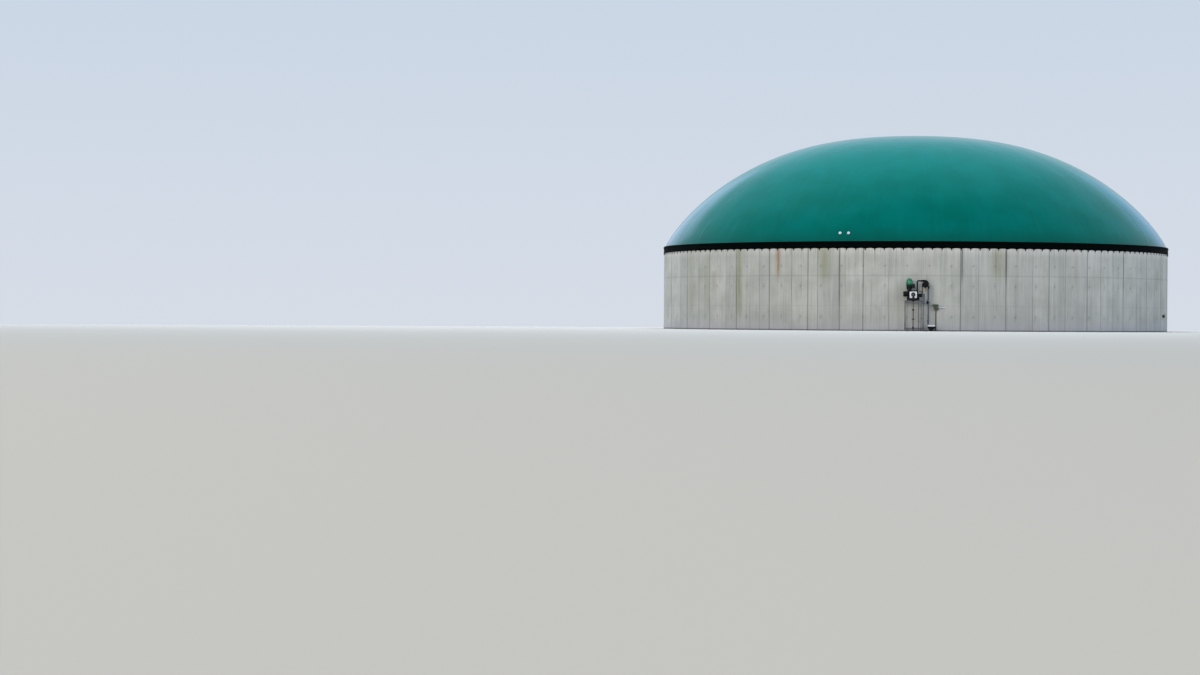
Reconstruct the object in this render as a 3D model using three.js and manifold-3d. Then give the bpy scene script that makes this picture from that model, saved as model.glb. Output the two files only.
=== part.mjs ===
// Biogas digester: a round concrete tank under an inflated membrane dome, with a mixer drive at its wall.
// Millimetres, +Z up. The origin is on the tank's axis at ground level, and the front faces -Y.
// Angles around the tank are in degrees from the front and grow towards +X.

import * as THREE from 'three';
import { mergeVertices } from 'three/addons/utils/BufferGeometryUtils.js';
import Module from 'manifold-3d';

// Tank
const TANK_RADIUS = 15000;
const WALL_THICKNESS = 250;
const WALL_HEIGHT = 4900;
const FLOOR_THICKNESS = 250;
const WALL_SEGMENTS = 12;
const WALL_START = -10;
const WALL_FACET = 2.5;

// Clamping band around the top of the wall
const BAND_SEGMENTS = 2;
const BAND_START = 20;
const BAND_BOTTOM = 4480;
const BAND_TOP = 4905;
const BAND_THICKNESS = 42;

// Membrane dome
const DOME_EDGE_RADIUS = 14915;
const DOME_EDGE_HEIGHT = 4915;
const DOME_RISE = 6660;
const DOME_FLATNESS = 2.55;
const DOME_SHOULDER = 0.82;
const DOME_THICKNESS = 60;
const DOME_FOOT_RADIUS = 14995;
const DOME_ROWS = 12;
const DOME_FACETS = 72;

// Sight ports near the edge of the dome
const PORT_ANGLES = { left: -15.8, right: -13.9 };
const PORT_HEIGHT = 5350;
const PORT_NECK_HEIGHT = 20;
const PORT_FLANGE_RADIUS = 80;
const PORT_FLANGE_THICKNESS = 12;
const PORT_RIM_RADIUS = 64;
const PORT_RIM_HEIGHT = 60;
const PORT_RIM_WIDTH = 8;
const PORT_GLASS_DEPTH = 10;

// Mixer drive: distances from the wall are along -Y
const DRIVE_X = 25;
const AXLE_HEIGHT = 2020;
const GEARBOX_OUT = 450;
const GEARBOX_RADIUS = 155;
const GEARBOX_LEFT = -400;
const GEARBOX_RIGHT = 240;
const COVER_RADIUS = 160;
const COVER_WIDTH = 120;
const COVER_LAP = 15;
const SIDE_HUB = { radius: 98, right: 550, height: 1945 };
const GEARBOX_FOOT = { left: -320, right: 360, depth: 240, top: 1900 };
const HUB_RADIUS = 120;
const WALL_FLANGE_SIDE = 460;
const WALL_FLANGE_THICKNESS = 20;
const SHAFT_TUBE_RADIUS = 105;
const BEARING_OUT = 620;
const BEARING_PLATE_SIDE = 390;
const BEARING_PLATE_THICKNESS = 25;
const BEARING_PLATE_HEIGHT = 1950;
const SEAL_RADIUS = 115;
const SEAL_BORE = 62;
const SEAL_WIDTH = 110;
const SEAL_RECESS = 25;
const SEAL_HEIGHT = 1985;
const DRIP_PAN = { width: 400, rim: 50, top: 1790, bottom: 1610, neck: 110, depth: 110 };
const DRAIN_RADIUS = 16;
const DRAIN_KNOB = { radius: 52, bottom: 1100, top: 1205, bevel: 14 };
const DRAIN_TEE = { radius: 22, half: 75, height: 640 };
const DRAIN_COUPLING = { radius: 45, bottom: 150, top: 240 };
const DRAIN_FOOT = { radius: 40, height: 14 };
const MOTOR_X = -185;
const MOTOR_RADIUS = 165;
const MOTOR_BOTTOM = 2430;
const MOTOR_TOP = 2875;
const COWL_RADIUS = 185;
const COWL_BOTTOM = 2560;
const COWL_CROWN = 240;
const COWL_STEPS = 6;
const LANTERN_DRUM = 130;
const LANTERN_TAPER = 22;
const LANTERN_RADIUS = 112;
const PAD_TOP = 2192;
const PAD_SIDE = 240;
const TERMINAL_BOX = { side: 130, bottom: 2330, height: 225 };

// Steel stand under the drive
const STAND_LEFT = -420;
const STAND_RIGHT = 565;
const STAND_BACK = 180;
const STAND_FRONT = 600;
const STAND_TOP = 1655;
const STAND_TUBE = 50;
const BRACE_HEIGHT = 150;
const FOOT_SIDE = 130;
const FOOT_THICKNESS = 12;
const BASE_PLATE = { left: -500, right: 630, back: 140, front: 632, thickness: 12 };

// Blue-grey control box on the front of the stand's right leg, with the rail that carries it
const CONTROL_BOX = { left: 515, right: 655, bottom: 1500, top: 2030, depth: 120 };
const CONTROL_RAIL = { left: 540, right: 590, bottom: 1540, top: 1590 };

// Support-air blower, its pipes and its bracket
const BLOWER_X = 655;
const BLOWER_HEIGHT = 2545;
const BLOWER_OUT = 420;
const BLOWER_WIDTH = 180;
const VOLUTE_START = 140;
const VOLUTE_END = 240;
const OUTLET_LENGTH = 200;
const INLET_RADIUS = 95;
const INLET_LENGTH = 45;
const BRACKET = { side: 120, plate: 12, arm: 50, below: 190, above: 150, pad: 100 };
const OUTLET_PIPE_RADIUS = 42;
const OUTLET_FLANGE = 16;
const OUTLET_COUPLING = { radius: 60, height: 100 };
const OUTLET_BOSS_RADIUS = 52;
const OUTLET_DROP_X = 240;
const VENT_PIPE = { x: 512, radius: 25, boss: 32, foot: 2075, top: 2400 };
const VENT_LEVER = { left: 340, height: 2150, radius: 22 };
const RISER_X = 840;
const RISER_RADIUS = 40;
const RISER_TOP = 2300;
const RISER_FLANGE = { width: 26, thickness: 18 };
const RISER_VALVE = { radius: 60, bottom: 480, top: 590, lever: 75, leverOut: 50, leverSide: 24 };
const CLAMP = { height: 1540, band: 12, half: 30, arm: 20, plate: 55, rise: 80 };
const CLAMP_LUG = { left: 95, right: 30, half: 30, bottom: 1470, top: 1660 };
const DRAIN_VALVE = {
  x: 690,
  neck: 26,
  body: 36,
  outlet: 22,
  shoulder: 30,
  chamfer: 15,
  waist: 95,
  length: 165,
  stem: 9,
};
const DRAIN_BOSS_RADIUS = 32;
const DRAIN_BOSS_BOTTOM = 2318;
const DRAIN_LEVER = { drop: 70, out: 70, length: 75, thickness: 8, half: 10 };
const SERVICE_PIPE_RADIUS = 17;
const SERVICE_VALVE = { wall: 12, half: 35 };
const SERVICE_LEVER = { reach: 65, length: 110, width: 24, thickness: 12 };
const SERVICE_PIPES = { left: { x: 310, lever: 520 }, right: { x: 455, lever: 680 } };
const SERVICE_PIPE_OUT = 390;

// Valve pit, junction boxes and the capped nozzle
const PIT = { left: 900, right: 1115, height: 250, back: 25, out: 470, collar: 160, flare: 60 };
const PIT_LID = { left: 808, right: 1225, thickness: 85, out: 500 };
const POST = { x: 1256, width: 50, depth: 40, height: 1470 };
const JUNCTION_BOXES = {
  lower: { left: 1130, right: 1390, bottom: 1150, height: 155 },
  upper: { left: 1066, right: 1390, bottom: 1335, height: 120 },
};
const JUNCTION_BOX_DEPTH = 115;
const CONDUIT_RADIUS = 20;
const CONDUIT_RISE = 130;
const CONDUIT_END_X = 1700;
const NOZZLE_ANGLE = 73.75;
const NOZZLE_HEIGHT = 900;
const NOZZLE_RADIUS = 70;
const NOZZLE_FLANGE_RADIUS = 105;
const NOZZLE_FLANGE_THICKNESS = 40;
const NOZZLE_LENGTH = 110;

// Clearance between pieces that rest on each other
const SEAT = 0.3;
const LID_TOP = PIT.height + SEAT + PIT_LID.thickness;

const finish = (color, roughness, metalness = 0) =>
  new THREE.MeshStandardMaterial({ color, roughness, metalness });

const materials = {
  concrete: finish(0xa3a39e, 0.9),
  membrane: finish(0x0b7068, 0.3),
  skirt: finish(0x0a1512, 0.5),
  zinc: finish(0x9a9fa2, 0.45, 0.8),
  enamel: finish(0xe6e8ea, 0.35),
  greenPaint: finish(0x2f7d58, 0.4, 0.2),
  blackCasting: finish(0x1b1c1d, 0.55, 0.4),
  pipe: finish(0x3a3d40, 0.5, 0.3),
  brass: finish(0xb39242, 0.35, 0.9),
  greyPlastic: finish(0x626a63, 0.6),
};

const digester = new THREE.Group();
const wasm = await Module();
wasm.setup();

// Adds one named solid to the model, or to a turned group in it
function add(name, geometry, material, parent = digester) {
  const mesh = new THREE.Mesh(geometry, material);
  mesh.name = name;
  parent.add(mesh);
  return mesh;
}

const radians = (degrees) => THREE.MathUtils.degToRad(degrees);
const outFromWall = (distance) => -(TANK_RADIUS + distance);

// The point at a radius and an angle around the tank
function around(radius, degrees) {
  const angle = radians(degrees);
  return new THREE.Vector2(radius * Math.sin(angle), -radius * Math.cos(angle));
}

// Turns a geometry into a solid that can be joined or cut
function toSolid(geometry) {
  const bare = geometry.clone();
  bare.deleteAttribute('normal');
  bare.deleteAttribute('uv');
  const merged = mergeVertices(bare, 1e-3);
  return new wasm.Manifold(
    new wasm.Mesh({
      numProp: 3,
      vertProperties: new Float32Array(merged.attributes.position.array),
      triVerts: new Uint32Array(merged.index.array),
    }),
  );
}

function toGeometry(solid) {
  const { vertProperties, triVerts } = solid.getMesh();
  const geometry = new THREE.BufferGeometry();
  geometry.setAttribute('position', new THREE.BufferAttribute(vertProperties, 3));
  geometry.setIndex(new THREE.BufferAttribute(triVerts, 1));
  return geometry;
}

const joined = (...pieces) => toGeometry(pieces.map(toSolid).reduce((sum, piece) => sum.add(piece)));
const cut = (piece, ...tools) =>
  toGeometry(tools.map(toSolid).reduce((rest, tool) => rest.subtract(tool), toSolid(piece)));

// A box between two corners
function box(left, right, back, front, bottom, top) {
  const geometry = new THREE.BoxGeometry(right - left, Math.abs(front - back), top - bottom);
  return geometry.translate((left + right) / 2, (back + front) / 2, (bottom + top) / 2);
}

// Cylinders along the three axes, from one end to the other
function alongX(radius, left, right, y, z, sides = 32) {
  const geometry = new THREE.CylinderGeometry(radius, radius, right - left, sides).rotateZ(Math.PI / 2);
  return geometry.translate((left + right) / 2, y, z);
}

function alongY(radius, back, front, x, z, sides = 32) {
  const geometry = new THREE.CylinderGeometry(radius, radius, Math.abs(front - back), sides);
  return geometry.translate(x, (back + front) / 2, z);
}

function alongZ(radius, bottom, top, x, y, sides = 24) {
  const geometry = new THREE.CylinderGeometry(radius, radius, top - bottom, sides).rotateX(Math.PI / 2);
  return geometry.translate(x, y, (bottom + top) / 2);
}

// A turned body from [radius, height] points listed from its top down to its bottom, both on the axis
function turned(profile, sides = 32) {
  const points = profile.map(([radius, height]) => new THREE.Vector2(radius, height));
  return new THREE.LatheGeometry(points.reverse(), sides).rotateX(Math.PI / 2);
}

// A bent bar with the outline of a ring's sector, in facets that all share the same grid of angles
function ringSector(inner, outer, bottom, top, start, end) {
  const count = Math.round((end - start) / WALL_FACET);
  const joint = THREE.MathUtils.radToDeg(SEAT / 2 / outer);
  const angles = Array.from({ length: count + 1 }, (_, i) => start + i * WALL_FACET);
  angles[0] += joint;
  angles[count] -= joint;
  const outline = [
    ...angles.map((angle) => around(outer, angle)),
    ...angles.reverse().map((angle) => around(inner, angle)),
  ];
  const geometry = new THREE.ExtrudeGeometry(new THREE.Shape(outline), {
    depth: top - bottom,
    bevelEnabled: false,
  });
  return geometry.translate(0, 0, bottom);
}

// How far back the faceted wall's face lies at a place x across the front
function wallFace(x) {
  const step = Math.floor(THREE.MathUtils.radToDeg(Math.asin(Math.abs(x) / TANK_RADIUS)) / WALL_FACET);
  const near = around(TANK_RADIUS, step * WALL_FACET);
  const far = around(TANK_RADIUS, (step + 1) * WALL_FACET);
  return near.y + ((Math.abs(x) - near.x) * (far.y - near.y)) / (far.x - near.x);
}

// Floor slab and wall, cast in segments of three formwork panels each
function addTank() {
  const innerRadius = TANK_RADIUS - WALL_THICKNESS;
  const floorRadius = innerRadius - SEAT;
  const floor = new THREE.CylinderGeometry(floorRadius, floorRadius, FLOOR_THICKNESS, 360 / WALL_FACET);
  add('tank_floor', floor.rotateX(Math.PI / 2).translate(0, 0, FLOOR_THICKNESS / 2), materials.concrete);
  const span = 360 / WALL_SEGMENTS;
  for (let i = 0; i < WALL_SEGMENTS; i += 1) {
    const start = WALL_START + i * span;
    const wall = ringSector(innerRadius, TANK_RADIUS, 0, WALL_HEIGHT, start, start + span);
    add(`wall_segment_${String(i + 1).padStart(2, '0')}`, wall, materials.concrete);
  }
}

// The band that clamps the membrane's skirt to the outside of the wall
function addRimBand() {
  const span = 360 / BAND_SEGMENTS;
  const inner = TANK_RADIUS + SEAT;
  const outer = inner + BAND_THICKNESS;
  for (let i = 0; i < BAND_SEGMENTS; i += 1) {
    const start = BAND_START + i * span;
    const strip = ringSector(inner, outer, BAND_BOTTOM, BAND_TOP, start, start + span);
    add(`rim_band_${i + 1}`, strip, materials.skirt);
  }
}

// The height of the inflated membrane above the ground, at a distance from the axis: a superellipse
function domeHeight(radius) {
  return DOME_EDGE_HEIGHT + DOME_RISE * (1 - (radius / DOME_EDGE_RADIUS) ** DOME_FLATNESS) ** DOME_SHOULDER;
}

// How steeply the membrane falls at a distance from the axis
function domeSlope(radius) {
  const step = DOME_EDGE_RADIUS / 1000;
  const inner = Math.max(0, radius - step);
  return (domeHeight(inner) - domeHeight(radius)) / (radius - inner || 1);
}

// The rows of the dome's facets lie closer together towards its steep edge
const domeRadius = (row) => DOME_EDGE_RADIUS * Math.sin((Math.PI / 2) * (row / DOME_ROWS));

// The membrane shell, from its crown to the foot that lies on the wall's top
function addDome() {
  const outside = [];
  const inside = [];
  for (let row = 0; row <= DOME_ROWS; row += 1) {
    const radius = domeRadius(row);
    const height = domeHeight(radius);
    const slope = domeSlope(radius);
    const length = Math.hypot(slope, 1);
    outside.push([radius, height]);
    inside.push([Math.max(0, radius - (DOME_THICKNESS * slope) / length), height - DOME_THICKNESS / length]);
    if (row === DOME_ROWS) {
      inside[row] = [radius - (DOME_THICKNESS * length) / slope, WALL_HEIGHT + SEAT];
    }
  }
  const foot = [
    [DOME_FOOT_RADIUS, DOME_EDGE_HEIGHT],
    [DOME_FOOT_RADIUS, WALL_HEIGHT + SEAT],
  ];
  const shell = turned([...outside, ...foot, ...inside.reverse()], DOME_FACETS);
  add('gas_dome', shell.rotateZ(radians(180 / DOME_FACETS)), materials.membrane);
}

// Two round sight ports seated square on one facet of the dome
function addSightPorts() {
  const facet = 360 / DOME_FACETS;
  const facetAngle = Math.round(PORT_ANGLES.left / facet) * facet;
  const row = DOME_ROWS - 2;
  const middle = Math.cos(radians(facet / 2));
  const upper = new THREE.Vector2(domeRadius(row) * middle, domeHeight(domeRadius(row)));
  const lower = new THREE.Vector2(domeRadius(row + 1) * middle, domeHeight(domeRadius(row + 1)));
  const along = (PORT_HEIGHT - lower.y) / (upper.y - lower.y);
  const centre = lower.clone().lerp(upper, along);
  const incline = Math.atan2(upper.y - lower.y, lower.x - upper.x);
  const rimTop = PORT_NECK_HEIGHT + PORT_RIM_HEIGHT;
  const flangeTop = PORT_NECK_HEIGHT + PORT_FLANGE_THICKNESS;
  const profile = [
    [0, rimTop - PORT_GLASS_DEPTH],
    [PORT_RIM_RADIUS - PORT_RIM_WIDTH, rimTop - PORT_GLASS_DEPTH],
    [PORT_RIM_RADIUS - PORT_RIM_WIDTH, rimTop],
    [PORT_RIM_RADIUS, rimTop],
    [PORT_RIM_RADIUS, flangeTop],
    [PORT_FLANGE_RADIUS, flangeTop],
    [PORT_FLANGE_RADIUS, PORT_NECK_HEIGHT],
    [PORT_RIM_RADIUS, PORT_NECK_HEIGHT],
    [PORT_RIM_RADIUS, 0],
    [0, 0],
  ];
  const bay = new THREE.Group();
  bay.rotation.z = radians(facetAngle);
  digester.add(bay);
  for (const [side, angle] of Object.entries(PORT_ANGLES)) {
    const port = add(`sight_port_${side}`, turned(profile, 28), materials.enamel, bay);
    const sideways = centre.x * Math.tan(radians(angle - facetAngle));
    port.position.set(sideways, -centre.x - SEAT * Math.sin(incline), centre.y + SEAT * Math.cos(incline));
    port.rotation.x = incline;
  }
}

// A square plate across the front, from its back to its front face
const plateAcross = (side, thickness, back, x, z) =>
  box(x - side / 2, x + side / 2, back, back - thickness, z - side / 2, z + side / 2);

// Gearbox, bearing plate, seal and motor of the mixer, on a shaft tube from the wall
function addDrive() {
  const axleY = outFromWall(GEARBOX_OUT);
  const deck = STAND_TOP + SEAT + BASE_PLATE.thickness + SEAT;
  const coverRight = GEARBOX_LEFT + COVER_LAP;
  const hubLeft = GEARBOX_RIGHT - COVER_LAP;
  const pipesY = outFromWall(BLOWER_OUT);
  const footHalf = GEARBOX_FOOT.depth / 2;
  const padHalf = PAD_SIDE / 2;
  const gearbox = joined(
    alongX(GEARBOX_RADIUS, GEARBOX_LEFT, GEARBOX_RIGHT, axleY, AXLE_HEIGHT),
    alongX(COVER_RADIUS, GEARBOX_LEFT - COVER_WIDTH, coverRight, axleY, AXLE_HEIGHT),
    alongX(SIDE_HUB.radius, hubLeft, SIDE_HUB.right, axleY, SIDE_HUB.height),
    alongZ(VENT_PIPE.boss, SIDE_HUB.height, VENT_PIPE.foot, VENT_PIPE.x, pipesY),
    box(GEARBOX_FOOT.left, GEARBOX_FOOT.right, axleY + footHalf, axleY - footHalf, deck, GEARBOX_FOOT.top),
    alongY(HUB_RADIUS, axleY, outFromWall(BEARING_OUT), DRIVE_X, SEAL_HEIGHT),
    box(MOTOR_X - padHalf, MOTOR_X + padHalf, axleY + padHalf, axleY - padHalf, AXLE_HEIGHT, PAD_TOP),
    alongZ(OUTLET_BOSS_RADIUS, SIDE_HUB.height, PAD_TOP, OUTLET_DROP_X, pipesY),
  );
  add('mixer_gearbox', gearbox, materials.blackCasting);

  const tubeEnd = axleY + GEARBOX_RADIUS + SEAT;
  const flangeFront = outFromWall(WALL_FLANGE_THICKNESS);
  const tube = joined(
    plateAcross(WALL_FLANGE_SIDE, WALL_FLANGE_THICKNESS, -TANK_RADIUS - SEAT, DRIVE_X, SEAL_HEIGHT),
    alongY(SHAFT_TUBE_RADIUS, flangeFront + WALL_FLANGE_THICKNESS / 2, tubeEnd, DRIVE_X, AXLE_HEIGHT),
  );
  add('shaft_tube', tube, materials.zinc);

  const plateBack = outFromWall(BEARING_OUT + SEAT);
  const plate = plateAcross(
    BEARING_PLATE_SIDE,
    BEARING_PLATE_THICKNESS,
    plateBack,
    DRIVE_X,
    BEARING_PLATE_HEIGHT,
  );
  add('bearing_plate', plate, materials.enamel);

  const sealBack = plateBack - BEARING_PLATE_THICKNESS - SEAT;
  const sealFront = sealBack - SEAL_WIDTH;
  const seal = cut(
    alongY(SEAL_RADIUS, sealBack, sealFront, DRIVE_X, SEAL_HEIGHT),
    alongY(SEAL_BORE, sealFront + SEAL_RECESS, sealFront - SEAL_RECESS, DRIVE_X, SEAL_HEIGHT),
  );
  add('seal_ring', seal, materials.blackCasting);

  const drainY = sealBack - SEAL_WIDTH / 2;
  const panHalf = DRIP_PAN.width / 2;
  const neckHalf = DRIP_PAN.neck / 2;
  const panFront = new THREE.Shape([
    new THREE.Vector2(-DRAIN_RADIUS, DRIP_PAN.bottom),
    new THREE.Vector2(DRAIN_RADIUS, DRIP_PAN.bottom),
    new THREE.Vector2(panHalf, DRIP_PAN.top - DRIP_PAN.rim),
    new THREE.Vector2(panHalf, DRIP_PAN.top),
    new THREE.Vector2(neckHalf, DRIP_PAN.top),
    new THREE.Vector2(neckHalf, SEAL_HEIGHT - SEAL_RADIUS - SEAT),
    new THREE.Vector2(-neckHalf, SEAL_HEIGHT - SEAL_RADIUS - SEAT),
    new THREE.Vector2(-neckHalf, DRIP_PAN.top),
    new THREE.Vector2(-panHalf, DRIP_PAN.top),
    new THREE.Vector2(-panHalf, DRIP_PAN.top - DRIP_PAN.rim),
  ]);
  const pan = new THREE.ExtrudeGeometry(panFront, { depth: DRIP_PAN.depth, bevelEnabled: false });
  pan.rotateX(Math.PI / 2).translate(0, DRIP_PAN.depth / 2, 0);
  const drainLine = turned([
    [0, DRIP_PAN.bottom + DRAIN_RADIUS],
    [DRAIN_RADIUS, DRIP_PAN.bottom + DRAIN_RADIUS],
    [DRAIN_RADIUS, DRAIN_KNOB.top],
    [DRAIN_KNOB.radius, DRAIN_KNOB.top - DRAIN_KNOB.bevel],
    [DRAIN_KNOB.radius, DRAIN_KNOB.bottom + DRAIN_KNOB.bevel],
    [DRAIN_TEE.radius, DRAIN_KNOB.bottom],
    [DRAIN_TEE.radius, DRAIN_COUPLING.top],
    [DRAIN_COUPLING.radius, DRAIN_COUPLING.top],
    [DRAIN_COUPLING.radius, DRAIN_COUPLING.bottom],
    [DRAIN_TEE.radius, DRAIN_COUPLING.bottom],
    [DRAIN_TEE.radius, DRAIN_FOOT.height],
    [DRAIN_FOOT.radius, DRAIN_FOOT.height],
    [DRAIN_FOOT.radius, 0],
    [0, 0],
  ], 20);
  const tee = alongX(DRAIN_TEE.radius, -DRAIN_TEE.half, DRAIN_TEE.half, 0, DRAIN_TEE.height, 20);
  const drain = joined(pan, drainLine, tee).translate(DRIVE_X, drainY, 0);
  add('drain_pipe', drain, materials.blackCasting);
  addMotor(axleY);
}

// Upright motor with a round-topped fan cowl, on its lantern, and the terminal box at its side
function addMotor(axleY) {
  const drumTop = MOTOR_BOTTOM - SEAT;
  const drumBottom = MOTOR_BOTTOM - LANTERN_DRUM;
  const lantern = turned([
    [0, drumTop],
    [MOTOR_RADIUS, drumTop],
    [MOTOR_RADIUS, drumBottom],
    [LANTERN_RADIUS, drumBottom - LANTERN_TAPER],
    [LANTERN_RADIUS, PAD_TOP + SEAT],
    [0, PAD_TOP + SEAT],
  ]);
  add('motor_lantern', lantern.translate(MOTOR_X, axleY, 0), materials.blackCasting);

  const crown = [[0, MOTOR_TOP]];
  for (let step = 1; step <= COWL_STEPS; step += 1) {
    const angle = (Math.PI / 2) * (step / COWL_STEPS);
    crown.push([COWL_RADIUS * Math.sin(angle), MOTOR_TOP - COWL_CROWN * (1 - Math.cos(angle))]);
  }
  const motor = turned([
    ...crown,
    [COWL_RADIUS, COWL_BOTTOM],
    [MOTOR_RADIUS, COWL_BOTTOM],
    [MOTOR_RADIUS, MOTOR_BOTTOM],
    [0, MOTOR_BOTTOM],
  ]);
  add('drive_motor', motor.translate(MOTOR_X, axleY, 0), materials.greenPaint);

  const boxLeft = MOTOR_X + MOTOR_RADIUS + SEAT;
  const boxRight = boxLeft + TERMINAL_BOX.side;
  const boxHalf = TERMINAL_BOX.side / 2;
  const boxTop = TERMINAL_BOX.bottom + TERMINAL_BOX.height;
  const terminals = box(boxLeft, boxRight, axleY + boxHalf, axleY - boxHalf, TERMINAL_BOX.bottom, boxTop);
  add('terminal_box', terminals, materials.blackCasting);
}

// An upright of square section around a point on the ground plan
const upright = (half, x, y, bottom, top) => box(x - half, x + half, y + half, y - half, bottom, top);

// Four-legged stand of square tube with the plate that the gearbox is bolted to
function addStand() {
  const half = STAND_TUBE / 2;
  const back = outFromWall(STAND_BACK);
  const front = outFromWall(STAND_FRONT);
  const rail = STAND_TOP - half;
  const pieces = [];
  for (const x of [STAND_LEFT, STAND_RIGHT]) {
    for (const y of [back, front]) {
      pieces.push(upright(half, x, y, 0, STAND_TOP));
      pieces.push(upright(FOOT_SIDE / 2, x, y, 0, FOOT_THICKNESS));
    }
    for (const height of [rail, BRACE_HEIGHT]) {
      pieces.push(box(x - half, x + half, back, front, height - half, height + half));
    }
  }
  for (const [y, height] of [[back, rail], [front, rail], [back, BRACE_HEIGHT]]) {
    pieces.push(box(STAND_LEFT, STAND_RIGHT, y + half, y - half, height - half, height + half));
  }
  add('drive_stand', joined(...pieces), materials.zinc);

  const plate = box(
    BASE_PLATE.left,
    BASE_PLATE.right,
    outFromWall(BASE_PLATE.back),
    outFromWall(BASE_PLATE.front),
    STAND_TOP + SEAT,
    STAND_TOP + SEAT + BASE_PLATE.thickness,
  );
  add('base_plate', plate, materials.zinc);

  const railBack = front - half - SEAT;
  const boxBack = outFromWall(BASE_PLATE.front + SEAT);
  const { left, right, bottom, top, depth } = CONTROL_BOX;
  const controls = joined(
    box(left, right, boxBack, boxBack - depth, bottom, top),
    box(
      CONTROL_RAIL.left,
      CONTROL_RAIL.right,
      railBack,
      boxBack - half,
      CONTROL_RAIL.bottom,
      CONTROL_RAIL.top,
    ),
  );
  add('control_box', controls, materials.pipe);
}

// Two small upright pipes behind the stand's front rail, each with a lever valve
function addServicePipes() {
  const y = outFromWall(SERVICE_PIPE_OUT);
  const { reach, length, width, thickness } = SERVICE_LEVER;
  const half = width / 2;
  const stem = thickness / 2;
  const valve = SERVICE_PIPE_RADIUS + SERVICE_VALVE.wall;
  for (const [side, { x, lever }] of Object.entries(SERVICE_PIPES)) {
    const pipe = joined(
      alongZ(SERVICE_PIPE_RADIUS, 0, STAND_TOP, x, y, 16),
      alongZ(valve, lever - SERVICE_VALVE.half, lever + SERVICE_VALVE.half, x, y, 16),
      box(x - half, x + half, y, y - reach - stem, lever - stem, lever + stem),
      box(x - half, x + length, y - reach, y - reach - thickness, lever - half, lever + half),
    );
    add(`service_pipe_${side}`, pipe, materials.pipe);
  }
}

// Outline of the blower's snail housing: a spiral that opens into the outlet at the top left
function voluteOutline() {
  const points = [];
  const cutoff = 120;
  const turn = 330;
  const steps = 30;
  for (let i = 0; i <= steps; i += 1) {
    const angle = radians(cutoff + (turn * i) / steps);
    const radius = VOLUTE_START + ((VOLUTE_END - VOLUTE_START) * i) / steps;
    points.push(new THREE.Vector2(radius * Math.cos(angle), radius * Math.sin(angle)));
  }
  points.push(new THREE.Vector2(-OUTLET_LENGTH, VOLUTE_END));
  points.push(new THREE.Vector2(-OUTLET_LENGTH, VOLUTE_START));
  return points;
}

// Blower on its wall bracket, with its outlet pipe and the vent pipe that it stands over
function addBlower() {
  const y = outFromWall(BLOWER_OUT);
  const backFace = y + BLOWER_WIDTH / 2;
  const inletFront = y - BLOWER_WIDTH / 2 - INLET_LENGTH;
  const housing = new THREE.ExtrudeGeometry(new THREE.Shape(voluteOutline()), {
    depth: BLOWER_WIDTH,
    bevelEnabled: false,
  });
  housing.rotateX(Math.PI / 2).translate(BLOWER_X, backFace, BLOWER_HEIGHT);
  const blower = joined(
    housing,
    alongY(INLET_RADIUS, y, inletFront, BLOWER_X, BLOWER_HEIGHT),
    alongZ(RISER_RADIUS, RISER_TOP + SEAT, BLOWER_HEIGHT, RISER_X, y),
    alongZ(DRAIN_BOSS_RADIUS, DRAIN_BOSS_BOTTOM, BLOWER_HEIGHT, DRAIN_VALVE.x, y),
    alongZ(VENT_PIPE.boss, VENT_PIPE.top, BLOWER_HEIGHT, VENT_PIPE.x, y),
  );
  add('air_blower', blower, materials.blackCasting);

  const half = BRACKET.side / 2;
  const arm = BRACKET.arm / 2;
  const left = BLOWER_X - half;
  const right = BLOWER_X + half;
  const plateBottom = BLOWER_HEIGHT - BRACKET.below;
  const padBottom = BLOWER_HEIGHT - BRACKET.pad;
  const back = wallFace(left) - SEAT;
  const front = backFace + SEAT;
  const bracket = joined(
    box(left, right, back, back - BRACKET.plate, plateBottom, BLOWER_HEIGHT + BRACKET.above),
    box(BLOWER_X - arm, BLOWER_X + arm, back, front, BLOWER_HEIGHT - half, BLOWER_HEIGHT + half),
    box(left, right, front + BRACKET.plate, front, padBottom, BLOWER_HEIGHT + BRACKET.pad),
  );
  add('blower_bracket', bracket, materials.zinc);

  const outletHeight = BLOWER_HEIGHT + (VOLUTE_START + VOLUTE_END) / 2;
  const outletEnd = BLOWER_X - OUTLET_LENGTH - SEAT;
  const flangeRadius = OUTLET_PIPE_RADIUS + OUTLET_FLANGE;
  const dropFoot = PAD_TOP + SEAT;
  const outlet = joined(
    alongX(OUTLET_PIPE_RADIUS, OUTLET_DROP_X, outletEnd, y, outletHeight, 20),
    alongX(flangeRadius, outletEnd - OUTLET_FLANGE, outletEnd, y, outletHeight, 20),
    new THREE.SphereGeometry(OUTLET_PIPE_RADIUS, 20, 12).translate(OUTLET_DROP_X, y, outletHeight),
    alongZ(OUTLET_PIPE_RADIUS, dropFoot, outletHeight, OUTLET_DROP_X, y, 20),
    alongZ(OUTLET_COUPLING.radius, dropFoot, dropFoot + OUTLET_COUPLING.height, OUTLET_DROP_X, y, 20),
  );
  add('blower_outlet_pipe', outlet, materials.blackCasting);

  const vent = joined(
    alongZ(VENT_PIPE.radius, VENT_PIPE.foot + SEAT, VENT_PIPE.top - SEAT, VENT_PIPE.x, y, 20),
    alongX(VENT_LEVER.radius, VENT_LEVER.left, VENT_PIPE.x, y, VENT_LEVER.height, 20),
  );
  add('vent_pipe', vent, materials.blackCasting);
}

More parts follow.
